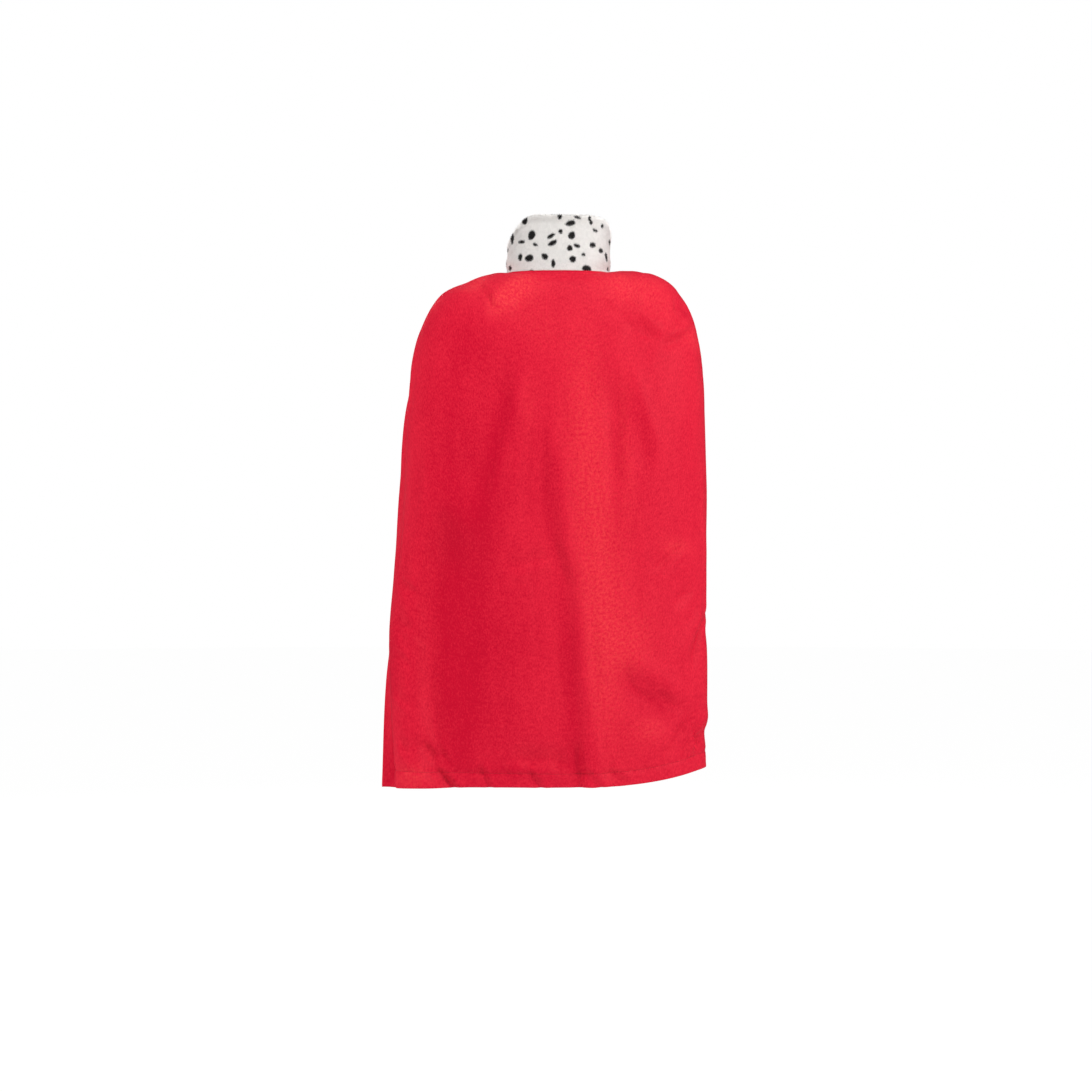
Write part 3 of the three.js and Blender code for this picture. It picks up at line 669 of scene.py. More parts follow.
def make_fibre_mottle():
    """Group: cloudy unevenness of a pile or knit, broad and fine, and the height of its fibres."""
    group = bpy.data.node_groups.new("fibre_mottle", "ShaderNodeTree")
    group.interface.new_socket("Vector", in_out="INPUT", socket_type="NodeSocketVector")
    for way, names in (("INPUT", ("Broad", "Fine", "Stretch")), ("OUTPUT", ("Cloud", "Fibre"))):
        for name in names:
            group.interface.new_socket(name, in_out=way, socket_type="NodeSocketFloat")
    taken = node_for(group, "NodeGroupInput")
    given = node_for(group, "NodeGroupOutput")
    broad = node_for(group, "ShaderNodeTexNoise", {"Detail": 4.0, "Roughness": 0.62})
    squeeze = node_for(group, "ShaderNodeCombineXYZ", {"X": 1.0, "Z": 1.0})
    lain = node_for(group, "ShaderNodeVectorMath", operation="MULTIPLY")
    fine = node_for(group, "ShaderNodeTexNoise", {"Detail": 3.0, "Roughness": 0.7})
    wire(
        group, (taken, "Vector", broad, "Vector"), (taken, "Broad", broad, "Scale"),
        (taken, "Stretch", squeeze, "Y"), (taken, "Vector", lain, 0), (squeeze, "Vector", lain, 1),
        (lain, "Vector", fine, "Vector"), (taken, "Fine", fine, "Scale"),
        (broad, "Fac", given, "Cloud"), (fine, "Fac", given, "Fibre"))
    return group


fibre_mottle = make_fibre_mottle()
NAP_AND_PAINTED_SHADING_SHARE = 0.42  # how far a full lean of the nap, and the full painted light and shade, move its colour from dark to light
NAP_DRIFT = 0.32  # how far the nap leans at random
NAP_LONG = (1.0, 0.35, 1.0)  # random leans are drawn out down the cloth
HIGHLIGHT_SPECK_SCALE = 215.0  # how fine the specks of painted highlight are, drawn as glints of crushed nap
ROUGHNESS_SPREAD = 0.08


def cloth_material(name, dark, light, painted_highlight_colour, broad, fine, stretch, grain, bump, roughness, gloss, sheen, tint):
    """A cloth whose colour wanders between two shades with its pile and with painted light and shade from a mark on
    the cloth, with specks of painted highlight, raised by its fibres.
    """
    material, tree, shader = material_for(name, {
        "Sheen Weight": sheen, "Sheen Roughness": 0.45, "Sheen Tint": (*tint, 1), "Specular IOR Level": gloss})
    place = node_for(tree, "ShaderNodeUVMap", uv_map="cloth")
    # Mark of painted light (+) and painted shade (-) laid on the cloth, with some of the nap's own lean in it.
    nap_and_painted_shading_mark = node_for(tree, "ShaderNodeAttribute", attribute_name="nap_and_painted_shading", attribute_type="GEOMETRY")
    mottle = node_for(
        tree, "ShaderNodeGroup", {"Broad": broad, "Fine": fine, "Stretch": stretch}, node_tree=fibre_mottle)
    blend = node_for(tree, "ShaderNodeMix", {"Factor": grain}, data_type="FLOAT")
    spread = node_for(tree, "ShaderNodeMapRange", {"From Min": 0.34, "From Max": 0.66})
    drawn_long = node_for(tree, "ShaderNodeVectorMath", {1: NAP_LONG}, operation="MULTIPLY")
    clouds = node_for(tree, "ShaderNodeTexNoise", {"Scale": 34.0, "Detail": 4.0, "Roughness": 0.65})
    drift = node_for(tree, "ShaderNodeMapRange", {"From Min": 0.3, "From Max": 0.7, "To Min": -1.0, "To Max": 1.0})
    drift_and_painted_shading = node_for(tree, "ShaderNodeMath", {1: NAP_DRIFT}, operation="MULTIPLY_ADD")
    grain_drift_and_painted_shading = node_for(tree, "ShaderNodeMath", {1: NAP_AND_PAINTED_SHADING_SHARE}, operation="MULTIPLY_ADD")
    shade = node_for(tree, "ShaderNodeMix", {6: (*dark, 1), 7: (*light, 1)}, data_type="RGBA")
    # Specks of painted highlight, in a paler red, where the mark paints light.
    highlight_specks = node_for(tree, "ShaderNodeTexNoise", {"Scale": HIGHLIGHT_SPECK_SCALE, "Detail": 3.0, "Roughness": 0.7})
    speck_share = node_for(tree, "ShaderNodeMapRange", {"From Min": 0.42, "From Max": 0.62})
    painted_highlight = node_for(tree, "ShaderNodeMath", operation="MULTIPLY", use_clamp=True)
    with_painted_highlight = node_for(tree, "ShaderNodeMix", {7: (*painted_highlight_colour, 1)}, data_type="RGBA")
    rough = node_for(
        tree, "ShaderNodeMapRange", {"To Min": roughness - ROUGHNESS_SPREAD, "To Max": roughness + ROUGHNESS_SPREAD})
    relief = node_for(tree, "ShaderNodeBump", {"Strength": bump, "Distance": 0.0006})
    wire(
        tree, (place, "UV", mottle, "Vector"), (mottle, "Cloud", blend, 2), (mottle, "Fibre", blend, 3),
        (blend, 0, spread, "Value"), (place, "UV", drawn_long, 0), (drawn_long, "Vector", clouds, "Vector"),
        (clouds, "Fac", drift, "Value"), (drift, "Result", drift_and_painted_shading, 0), (nap_and_painted_shading_mark, "Fac", drift_and_painted_shading, 2),
        (drift_and_painted_shading, "Value", grain_drift_and_painted_shading, 0), (spread, "Result", grain_drift_and_painted_shading, 2), (grain_drift_and_painted_shading, "Value", shade, 0),
        (place, "UV", highlight_specks, "Vector"), (highlight_specks, "Fac", speck_share, "Value"), (nap_and_painted_shading_mark, "Fac", painted_highlight, 0),
        (speck_share, "Result", painted_highlight, 1), (painted_highlight, "Value", with_painted_highlight, 0), (shade, 2, with_painted_highlight, 6),
        (with_painted_highlight, 2, shader, "Base Color"), (mottle, "Fibre", rough, "Value"),
        (rough, "Result", shader, "Roughness"), (mottle, "Fibre", relief, "Height"),
        (relief, "Normal", shader, "Normal"))
    return material


# The face's glint colour is the colour of its painted highlight specks.
velour_face = cloth_material(
    "velour_face", dark=(0.464, 0.0001, 0.0188), light=(0.647, 0.0138, 0.0366),
    painted_highlight_colour=(0.705, 0.039, 0.0464), broad=110, fine=400, stretch=0.6,
    grain=0.75, bump=0.6, roughness=0.56, gloss=0.09, sheen=0.045, tint=(1.0, 0.16, 0.18))
velour_back = cloth_material(
    "velour_back", dark=(0.42, 0.0009, 0.0196), light=(0.536, 0.0054, 0.0313),
    painted_highlight_colour=(0.536, 0.0054, 0.0313), broad=60, fine=900, stretch=0.35,
    grain=0.85, bump=0.35, roughness=0.85, gloss=0.18, sheen=0.07, tint=(1.0, 0.3, 0.3))

# Patches of painted light and painted shade on the velour's colour, with some of the nap's own brushed lean in them:
# painted shade in the fold hollows and along edges, painted highlight on the shoulders. Place across and down, half
# widths along and across the patch, its turn in degrees from straight down (+ leans to the left), and how much
# painted light (+) or painted shade (-) it adds
NAP_AND_PAINTED_SHADING = [
    (158, 640, 170, 36, 0, -1.0), (100, 660, 150, 60, 4, -0.5), (140, 500, 90, 40, 8, -0.4),
    (92, 275, 110, 20, 14, -0.9), (114, 380, 60, 30, 12, -0.5), (-18, 640, 170, 15, -5, -0.6),
    (14, 360, 90, 16, -5, -0.5), (150, 150, 50, 36, 30, -0.5), (176, 320, 130, 44, 6, -0.4),
    (-132, 300, 80, 16, -14, -0.4), (-146, 690, 60, 20, -48, -0.6), (-90, 300, 110, 12, -2, -0.3),
    (-210, 400, 140, 30, 0, -0.25), (-30, 770, 50, 40, 0, -0.3), (60, 790, 16, 60, 0, -0.6),
    (68, 44, 40, 22, 30, 0.8), (92, 66, 36, 14, 34, 0.8), (50, 30, 24, 30, 0, 0.4),
    (-84, 40, 46, 26, -40, 0.3), (-130, 66, 60, 22, -46, 0.35), (-174, 110, 60, 20, -50, 0.2),
    (-60, 420, 330, 60, -3, 0.2), (-210, 330, 300, 50, 0, 0.15), (278, 700, 200, 13, 0, -0.9),
    (150, 480, 240, 60, 0, -0.25), (228, 800, 16, 26, 0, 0.6), (150, 804, 12, 40, 0, 0.3),
    (-40, 250, 140, 26, -2, 0.4), (-66, 520, 220, 34, -2, 0.5), (-112, 600, 60, 40, 0, 0.4),
    (214, 700, 90, 14, 0, 0.3), (-196, 480, 30, 12, -60, 0.5),
    (150, 52, 30, 30, 0, 0.5), (160, 70, 26, 9, 50, 0.4), (236, 124, 18, 12, 0, 0.4), (238, 160, 20, 14, 0, -0.5),
    (190, 74, 30, 14, 50, 0.25), (-112, 42, 30, 26, 0, 0.3), (-172, 76, 40, 16, -50, 0.3),
    (-250, 190, 30, 14, -60, 0.4), (-239, 146, 15, 9, -40, -0.5), (221, 610, 150, 20, 0, -0.45),
    (179, 540, 170, 22, 0, -0.3), (-26, 655, 120, 14, 0, -0.3), (-104, 270, 110, 20, 0, 0.3),
    (-146, 735, 22, 26, 0, 0.45), (262, 640, 60, 9, 0, -0.35), (12, 440, 60, 18, 0, 0.25), (54, 210, 60, 20, 0, 0.3),
    (34, 95, 36, 36, 0, 0.25),
]


def nap_and_painted_shading_at(across, down):
    """Painted light (+) and painted shade (-) on the cloth's colour at places on it, with some of the nap's lean in
    them.
    """
    nap_and_painted_shading = np.zeros(across.shape)
    for at, low, long, wide, lean, tone in NAP_AND_PAINTED_SHADING:
        turn = math.radians(lean)
        off_x, off_d = across - at, down - low
        along = off_d * math.cos(turn) + off_x * math.sin(turn)
        aside = off_x * math.cos(turn) - off_d * math.sin(turn)
        nap_and_painted_shading += tone * bell(np.hypot(along / long, aside / wide))
    return np.clip(nap_and_painted_shading, -1, 1)


CLOTH_FROM = (1170.0, 2310.0)  # where the middle of the neck edge lies on the plane of the UV map

rows, columns = across.shape
# Painted light and painted shade from the patches at each point of the outer face; the inner face gets none.
nap_and_painted_shading = nap_and_painted_shading_at(across, cloth_down).ravel()
outer_quads, inner_quads, rim_quads = walled_faces(rows, columns)
cloth_place = np.stack([across.ravel() + CLOTH_FROM[0], CLOTH_FROM[1] - cloth_down.ravel()], axis=1)
inner_in_hem = in_hem[:-1, :-1] & in_hem[1:, 1:]
side_of_cloth = np.concatenate([
    np.zeros(len(outer_quads)), np.where(inner_in_hem.ravel(), 0, 1), np.zeros(len(rim_quads))])
panel = add_piece(
    "cape_cloth",
    np.concatenate([outer_face.reshape(-1, 3), inner_face.reshape(-1, 3)]),
    np.concatenate([outer_quads, inner_quads, rim_quads]),
    uv=np.concatenate([cloth_place, cloth_place]),
    materials=[velour_face, velour_back],
    face_materials=side_of_cloth,
    marks={"nap_and_painted_shading": np.concatenate([nap_and_painted_shading, np.zeros(nap_and_painted_shading.size)])},
)
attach(panel, "root")
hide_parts("cape_panel")

# Hem stitches: single stitches of red thread along the turned-in edges of the side hems and the bottom hem, sunk a
# little in the cloth on both faces. One is modelled, and the others are its copies.
STITCH_PITCH = 3.3
STITCH_SCALE = (2.6, 0.6, 0.5)  # long, wide, thick
STITCH_LIFT = 0.12
STITCH_SKIP = 1.5  # a line of stitches starts this far in from its ends


def swept_strand(path, sides):
    """A strand swept along a path of (x, z, thickness), closed at both ends: its points and faces."""
    path = np.array(path, float)
    tangent = unit(np.gradient(path[:, :2], axis=0))
    points = [(path[0, 0], 0, path[0, 1])]
    for (x, z, thick), (tx, tz) in zip(path[1:-1], tangent[1:-1]):
        for k in range(sides):
            turn = 2 * math.pi * k / sides
            off = 0.5 * thick * math.cos(turn)
            points.append((x - tz * off, 0.5 * thick * math.sin(turn), z + tx * off))
    points.append((path[-1, 0], 0, path[-1, 1]))
    last = len(points) - 1
    faces = []
    for k in range(sides):
        n = (k + 1) % sides
        faces.append((0, 1 + n, 1 + k))
        faces.append((last, last - sides + k, last - sides + n))
        for ring in range(len(path) - 3):
            low, high = 1 + ring * sides, 1 + (ring + 1) * sides
            faces.append((low + k, low + n, high + n))
            faces.append((low + k, high + n, high + k))
    points, faces = np.array(points), np.array(faces)
    a, b, c = (points[faces[:, k]] for k in range(3))
    inside_out = np.sum(a * np.cross(b, c)) < 0
    return points, faces[:, ::-1] if inside_out else faces


def copies_of(points, faces, middles, along, upward, scale):
    """Copies of a strand, each with its X along one direction and its Z towards another: all points and faces."""
    along = unit(along)
    upward = unit(upward - along * np.sum(along * upward, axis=1)[:, None])
    sideways = np.cross(upward, along)
    placed = middles[:, None, :] + sum(
        points[None, :, k, None] * scale[k] * axis[:, None, :] for k, axis in enumerate((along, sideways, upward)))
    numbers = faces[None, :, :] + (np.arange(len(middles)) * len(points))[:, None, None]
    return placed.reshape(-1, 3), numbers.reshape(-1, 3)


def joined(pieces):
    """Points and faces of several sets as one set."""
    points, faces, met = [], [], 0
    for placed, numbers in pieces:
        points.append(placed)
        faces.append(numbers + met)
        met += len(placed)
    return np.concatenate(points), np.concatenate(faces)


def stitched(line, line_normals, pitch, skip, scale):
    """Stitches at an even pitch along a line of points, each lying on the cloth."""
    run = run_along(line)
    at = np.arange(skip, run[-1] - skip, pitch)
    along = points_at(line, at + 0.4) - points_at(line, at - 0.4)
    return copies_of(*STITCH, points_at(line, at), along, rows_at(at, run, line_normals), scale)


STITCH = swept_strand([(-0.5, 0, 0.4), (-0.34, 0, 0.8), (0, 0, 1), (0.34, 0, 0.8), (0.5, 0, 0.4)], 4)
side_line = len(SIDE_LINES) - 1 - int(np.argmin(np.abs(SIDE_LINES[::-1] - (SIDE_HEM - STITCH_IN))))
low_line = -1 - int(np.argmin(np.abs(BOTTOM_LINES - (BOTTOM_HEM - STITCH_IN))))
right_line, left_line = side_line, columns - 1 - side_line
sewn = []
for face, lift in ((outer_face, STITCH_LIFT), (inner_face, -STITCH_LIFT)):
    lifted = face + cloth_normals * lift
    for line in (
        (slice(3, rows + low_line + 1), right_line),
        (slice(3, rows + low_line + 1), left_line),
        (low_line, slice(right_line, left_line + 1)),
    ):
        sewn.append(stitched(lifted[line], cloth_normals[line], STITCH_PITCH, STITCH_SKIP, STITCH_SCALE))
thread_red, _, _ = material_for("thread_red", {"Base Color": (0.4, 0.002, 0.016, 1), "Roughness": 0.55})
hem_stitches = add_piece("hem_stitches", *joined(sewn), materials=[thread_red])
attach(hem_stitches, "root")

# Collar: one strip of white plush with black spots, folded double along its top edge, its rounded front ends turned
# in, and sewn standing to the gathered neck edge. This piece is the strip's backing as it is folded.
COLLAR_THICK = 11.0
COLLAR_LEAN = 4.6
SEAM_GAP = 0.3
BACKING = 1.1
BACKING_HALF = 2.6  # half the thickness of the folded strip without its pile
PILE_RISE = 2.9  # the pile hides this much above the backing
COLLAR_SHORT = 2.3  # degrees by which the backing stops short of the pile's front ends
ROLL_HALF = 0.55
STEPS_UP = 34  # points up each side of the folded strip
STEPS_OVER = 9  # points over its top
BACKING_COLUMNS = 171
BACKING_EVEN = 5  # its even columns stop this many degrees back from the ends
BACKING_ENDS = (4.0, 3.0, 2.0, 1.2, 0.6, 0.2, 0.0)  # columns at the rounded front ends, in degrees back from the end

# Degrees from the nape, height on the left side and on the right side, height of the soft roll near the base, its
# stand-out as a share of half the thickness
COLLAR = [
    (0, 90, 90, 20, 0.1),
    (20, 90, 90, 20, 0.14),
    (35, 90, 89.5, 20, 0.18),
    (47, 84, 88, 19, 0.25),
    (59, 73, 85, 18, 0.32),
    (71, 60, 78, 17, 0.32),
    (90, 50, 62, 15, 0.27),
    (115, 46, 50, 14, 0.18),
    (140, 43, 45, 13, 0.14),
    (160, 41, 42, 12, 0.1),
    (171.5, 39, 39, 12, 0.1),
]
COLLAR_END = COLLAR[-1][0]

# The rounded front ends: degrees back from the end, share of the thickness, share of the height
COLLAR_ENDS = [(0, 0.35, 0.62), (0.8, 0.72, 0.8), (2.4, 0.93, 0.93), (4.6, 1, 0.99)]


def neck_ring(turns):
    """Points of the neck ring by their turn from the nape, and level directions away from the neck."""
    places, level = np.empty((len(turns), 3)), np.empty((len(turns), 3))
    for side in (-1, 1):
        line = half_sections([0.0], side)[0]
        whole = run_along(line)[-1]
        mine = turns < 0 if side < 0 else turns >= 0
        at = whole * np.abs(turns[mine]) / COLLAR_END
        places[mine] = points_at(line, at)
        along = points_at(line, np.minimum(at + 1, whole)) - points_at(line, np.maximum(at - 1, 0))
        level[mine] = unit(np.stack([-along[:, 1] * side, along[:, 0] * side, np.zeros(len(at))], axis=1))
    return places, level


NECK_LENGTH = run_along(half_sections([0.0], 1)[0])[-1] + run_along(half_sections([0.0], -1)[0])[-1]
MM_PER_DEGREE = NECK_LENGTH / (2 * COLLAR_END)


def collar_grid(turns, half_thick, short_top):
    """The folded strip's face in rows round the neck, from the inside base over the top to the outside base: its
    points, and how far each stands above the neck seam (negative on the inside)."""
    places, level = neck_ring(turns)
    left, right, roll_up, roll = (column[:, None] for column in smooth_rows(COLLAR, np.abs(turns)).T)
    full = np.where(turns[:, None] < 0, right, left)
    from_end = (COLLAR_END - COLLAR_SHORT - np.abs(turns))[:, None]
    ends = np.array(COLLAR_ENDS)
    thin = np.interp(from_end, ends[:, 0], ends[:, 1])
    low = np.interp(from_end, ends[:, 0], ends[:, 2])
    top = full * low - short_top
    side_steps = np.linspace(0, 1, STEPS_UP)
    round_steps = np.linspace(0, math.pi, STEPS_OVER)
    up = np.concatenate([
        side_steps[None, :] * (top - half_thick),
        (top - half_thick) + half_thick * np.sin(round_steps[None, 1:-1]),
        side_steps[None, ::-1] * (top - half_thick),
    ], axis=1)
    out = np.concatenate([
        -np.ones((len(turns), len(side_steps))),
        -np.cos(round_steps[None, 1:-1]) * np.ones((len(turns), 1)),
        np.ones((len(turns), len(side_steps))),
    ], axis=1) * half_thick
    swell = roll * COLLAR_THICK / 2 * bell((up / (roll_up * low) - 1) / ROLL_HALF)
    out = (out + np.where(out > 0, swell, 0) * ease(out / half_thick)) * thin
    points = places[:, None, :] + out[:, :, None] * level[:, None, :]
    points[:, :, 0] -= COLLAR_LEAN * (up / COLLAR[0][1]) ** 2
    points[:, :, 2] += up + SEAM_GAP
    above = np.where(np.arange(up.shape[1])[None, :] <= up.shape[1] // 2, -up, up)
    return points.transpose(1, 0, 2), above.T


# Spots as they lie on the outside: place round the collar from the nape (+ to the left), height above the neck seam,
# width, height, tilt in degrees (+ rises to the right, seen from behind)
OUTER_SPOTS = [
    (59, 80, 9.5, 9, 40), (57, 85, 4.2, 5.4, 0), (44, 57, 10, 12.5, -10), (63, 47, 11.5, 4.5, 0),
    (37, 42, 8, 3.4, -25), (13, 55, 10, 5, 30), (10, 44, 12, 6, 25), (-1, 62, 5, 6, 0), (2, 85, 5.5, 6.5, 0),
    (-15, 75, 12, 7, 10), (-18, 56, 9, 9.5, 0), (-25, 84, 9, 3, -15), (-45, 83, 4.5, 6, 0), (-48, 77, 4.5, 6, 0),
    (-72, 73, 4.5, 5.4, 0), (-57, 65, 8.4, 3.8, -20), (-54, 42, 9, 7, 0), (-27, 40, 9, 4.5, -15),
    (-16, 36, 7, 7.4, 0), (-38, 26, 5.7, 4.5, 0), (-21, 19, 8.6, 7.8, 0), (-44, 5, 13, 8, 0), (-72, 34, 9, 6, 0),
    (-104, 50, 10, 7, 0), (-87, 25, 7, 12, 0), (-95, 7, 6, 5, 0), (8, 12, 5, 10, 0), (21, 23, 9, 7, -35),
    (46, 21, 11.7, 9, 0), (63, 23, 7, 9.3, 0), (90, 8, 8, 7, 0), (42, 1, 6, 3, 0), (87, 54, 8, 15, 0),
    (123, 30, 6, 4, 0), (113, 16, 7, 7, 0),
    (108, 38, 9, 5, 20), (136, 12, 10, 6, -20), (141, 33, 6, 8, 10), (158, 20, 8, 7, 30), (171, 37, 9, 4, -15),
    (178, 9, 6, 8, 0), (193, 25, 10, 7, 15), (209, 11, 7, 5, -30), (213, 34, 5, 6, 0), (147, 43, 7, 4, 0),
    (-118, 14, 8, 9, -20), (-129, 36, 7, 5, 25), (-143, 22, 11, 6, 10), (-152, 41, 5, 5, 0), (-163, 8, 7, 6, 40),
    (-172, 29, 8, 10, -10), (-189, 16, 9, 5, 20), (-194, 37, 6, 4, -25), (-208, 24, 6, 8, 0), (-216, 6, 8, 4, 0),
]

# Spots on the inside, in the same columns
INNER_SPOTS = [
    (4, 70, 10, 7, 20), (-14, 49, 8, 9, 0), (19, 36, 11, 6, -25), (31, 66, 6, 8, 0), (-33, 74, 9, 5, 15),
    (-41, 33, 7, 10, 10), (48, 46, 9, 7, -15), (66, 63, 6, 5, 0), (-62, 54, 11, 6, 30), (-3, 16, 8, 6, 0),
    (39, 14, 7, 8, 20), (-26, 12, 9, 5, -20), (72, 27, 10, 6, 25), (-78, 25, 7, 8, 0), (90, 41, 6, 7, -10),
    (-97, 40, 8, 5, 20), (-60, 80, 5, 5, 0), (54, 81, 7, 4, 0), (106, 18, 9, 7, 0), (-112, 14, 8, 6, -30),
    (124, 36, 7, 5, 15), (-128, 34, 9, 6, 10), (141, 13, 6, 8, 0), (-146, 18, 7, 7, 0), (157, 30, 10, 5, -20),
    (-163, 33, 6, 6, 0), (176, 14, 8, 6, 25), (-181, 12, 9, 7, -15), (194, 31, 6, 8, 0), (-199, 29, 7, 5, 20),
    (211, 15, 8, 5, 0), (-214, 12, 5, 7, 0), (84, 9, 6, 5, 0), (-88, 60, 6, 7, 0), (14, 86, 9, 4, 0),
]
SPOT_EDGE = 1.24  # where a spot's edge lies, as a share of its half size
SPOT_UNEVEN = ((2, 0.06), (3, 0.05), (5, 0.03))  # its edge goes in and out so often and so far round the spot
SPOT_SOFT = 0.2  # width of its edge
spot_rng = np.random.default_rng(31)
SPOT_WOBBLE = spot_rng.uniform(0, 2 * math.pi, (len(OUTER_SPOTS) + len(INNER_SPOTS), 3))


def spots_on(along, up, spots, wobbles):
    """How black the plush is at places on one side of the collar: 0 white to 1 black."""
    black = np.zeros(along.shape)
    for (at, height_up, wide, high, tilt), starts in zip(spots, wobbles):
        turn = math.radians(tilt)
        sideways, above = at - along, up - height_up
        a = (sideways * math.cos(turn) + above * math.sin(turn)) / (wide / 2)
        b = (above * math.cos(turn) - sideways * math.sin(turn)) / (high / 2)
        angle = np.arctan2(b, a)
        edge = SPOT_EDGE
        for (often, far), start in zip(SPOT_UNEVEN, starts):
            edge = edge + far * np.sin(often * angle + start)
        black = np.maximum(black, np.clip((edge - np.hypot(a, b)) / SPOT_SOFT + 0.5, 0, 1))
    return black


def plush_black(turns, above):
    """The spots of both sides at turns from the nape and levels above the neck seam (negative on the inside)."""
    along = turns * MM_PER_DEGREE
    outside = spots_on(along, above, OUTER_SPOTS, SPOT_WOBBLE[:len(OUTER_SPOTS)])
    inside = spots_on(along, -above, INNER_SPOTS, SPOT_WOBBLE[len(OUTER_SPOTS):])
    return np.where(above > 0, outside, inside)


backing_turns = np.linspace(-1, 1, BACKING_COLUMNS) * (COLLAR_END - COLLAR_SHORT - BACKING_EVEN)
end_turns = COLLAR_END - COLLAR_SHORT - np.array(BACKING_ENDS)
backing_turns = np.concatenate([-end_turns[::-1], backing_turns, end_turns])
strip_face, strip_above = collar_grid(backing_turns, BACKING_HALF, PILE_RISE)
strip_back, _ = collar_grid(backing_turns, BACKING_HALF - BACKING, PILE_RISE + BACKING)
strip_black = plush_black(backing_turns[None, :] * np.ones(strip_above.shape), strip_above).ravel()


def plush_material(name, root_white, tip_white, root_black, tip_black):
    """White plush with black spots: roots darker than tips as painted shade deep in the pile, and each tuft a little
    lighter or darker at random.
    """
    material, tree, shader = material_for(name, {
        "Roughness": 0.75, "Specular IOR Level": 0.2, "Sheen Weight": 0.25, "Sheen Roughness": 0.5})
    black, tip, tone = (
        node_for(tree, "ShaderNodeAttribute", attribute_name=mark, attribute_type="GEOMETRY")
        for mark in ("black", "tip", "tone"))
    white_shade, black_shade = (
        node_for(tree, "ShaderNodeMix", {6: (*root_colour, 1), 7: (*tip_colour, 1)}, data_type="RGBA")
        for root_colour, tip_colour in ((root_white, tip_white), (root_black, tip_black)))
    spotted = node_for(tree, "ShaderNodeMix", data_type="RGBA")
    lighter = node_for(tree, "ShaderNodeMapRange", {"To Min": 0.86, "To Max": 1.0})
    varied = node_for(tree, "ShaderNodeVectorMath", operation="SCALE")
    wire(
        tree, (tip, "Fac", white_shade, 0), (tip, "Fac", black_shade, 0), (black, "Fac", spotted, 0),
        (white_shade, 2, spotted, 6), (black_shade, 2, spotted, 7), (tone, "Fac", lighter, "Value"),
        (spotted, 2, varied, 0), (lighter, "Result", varied, "Scale"), (varied, "Vector", shader, "Base Color"))
    return material


# Root colours darker than tip colours: painted shade deep in the pile.
plush = plush_material(
    "spotted_plush", (0.90, 0.865, 0.835), (0.99, 0.965, 0.94), (0.006, 0.005, 0.005), (0.018, 0.015, 0.015))
backing = add_piece(
    "collar_backing",
    np.concatenate([strip_face.reshape(-1, 3), strip_back.reshape(-1, 3)]),
    np.concatenate(walled_faces(*strip_above.shape)),
    materials=[plush],
    marks={
        "black": np.concatenate([strip_black, strip_black]),
        # The backing's colour lies part way towards the roots' painted shade.
        "tip": np.full(2 * strip_black.size, 0.45),
        "tone": np.full(2 * strip_black.size, 0.5),
    },
)

# Collar pile: the plush's own short pile in tufts, standing on both faces of the folded strip and over its top, and
# lying a little towards the neck seam. Tufts are white, or black where a spot is printed on them.
PILE_PITCH = 1.3
PILE_LONG = 4.2
PILE_THICK = 1.7
PILE_LIE = 0.85  # lean towards the seam, in radians
PILE_STRAY = 0.3  # uneven lean of single tufts
LOWER_LEAN = (0.8, 1.0, 0.6)  # shares of the lean, the stray aside and the stray down that a tuft's lower half takes
UPPER_LEAN = (1.25, 1.3, 0.9)
STANDS_UP = (14.0, 5.0)  # the pile stands up within this far of the strip's fold and of the seam
ROOT_STRAY = (0.4, 0.45)  # uneven places of the roots up the strip and along it, as shares of the pitch
ROOT_DEEP = 0.3
LONG_SPREAD = (0.82, 1.08)
KNEE_THICK = 0.8  # thickness of a tuft at its middle, as a share of that at its root
CLUMP_TONE = 0.5  # share of the tone that a tuft has from its clump
PILE_SHOWS = 1.5  # a leaning tuft shows this far below its root, and its spots are printed there
PILE_SIDES = 3
CLUMP = 4.5  # width of the clumps that the tips draw together in
CLUMPING = 0.22
CLUMP_CELLS = 180  # clumps each way, counted from the middle
SOFTNESS = 0.65  # how far a tuft is lit as the face that it stands on, as fine fibres are
TUFT_TIPS = (*[0] * PILE_SIDES, *[0.7] * PILE_SIDES, 1)  # how near to the tip each point of a tuft counts, for the painted shade that darkens the roots

pile_rng = np.random.default_rng(47)
pile_turns = np.arange(-1, 1, PILE_PITCH / NECK_LENGTH * 2) * (COLLAR_END - COLLAR_SHORT - 0.2)
pile_grid, pile_above = collar_grid(pile_turns, BACKING_HALF, PILE_RISE)
pile_normals = grid_normals(pile_grid)
round_neck = np.gradient(pile_grid, axis=1)
roots, outward, sideways, above, turns_at = [], [], [], [], []
for n, turn in enumerate(pile_turns):
    run = run_along(pile_grid[:, n])
    at = np.arange(PILE_PITCH * (0.25 + 0.5 * (n % 2)), run[-1], PILE_PITCH)
    at = np.clip(at + pile_rng.uniform(-ROOT_STRAY[0], ROOT_STRAY[0], len(at)) * PILE_PITCH, 0.1, run[-1] - 0.1)
    roots.append(points_at(pile_grid[:, n], at))
    outward.append(rows_at(at, run, pile_normals[:, n]))
    sideways.append(rows_at(at, run, round_neck[:, n]))
    above.append(np.interp(at, run, pile_above[:, n]))
    turns_at.append(np.full(len(at), turn))
roots, outward, sideways = (np.concatenate(part) for part in (roots, outward, sideways))
above, turns_at = np.concatenate(above), np.concatenate(turns_at)
outward, sideways = unit(outward), unit(sideways)
shift = pile_rng.uniform(-ROOT_STRAY[1], ROOT_STRAY[1], len(roots)) * PILE_PITCH
roots = roots + sideways * shift[:, None]
seamward = np.cross(sideways, outward)
seamward = seamward * np.where(seamward[:, 2] > 0, -1, 1)[:, None]
heights = smooth_rows(COLLAR, np.abs(turns_at))
root_at = np.stack([turns_at * MM_PER_DEGREE, above])
clump = tuple(np.floor(root_at / CLUMP).astype(int) + CLUMP_CELLS // 2)
clump_at = pile_rng.uniform(0.2, 0.8, (2, CLUMP_CELLS, CLUMP_CELLS))
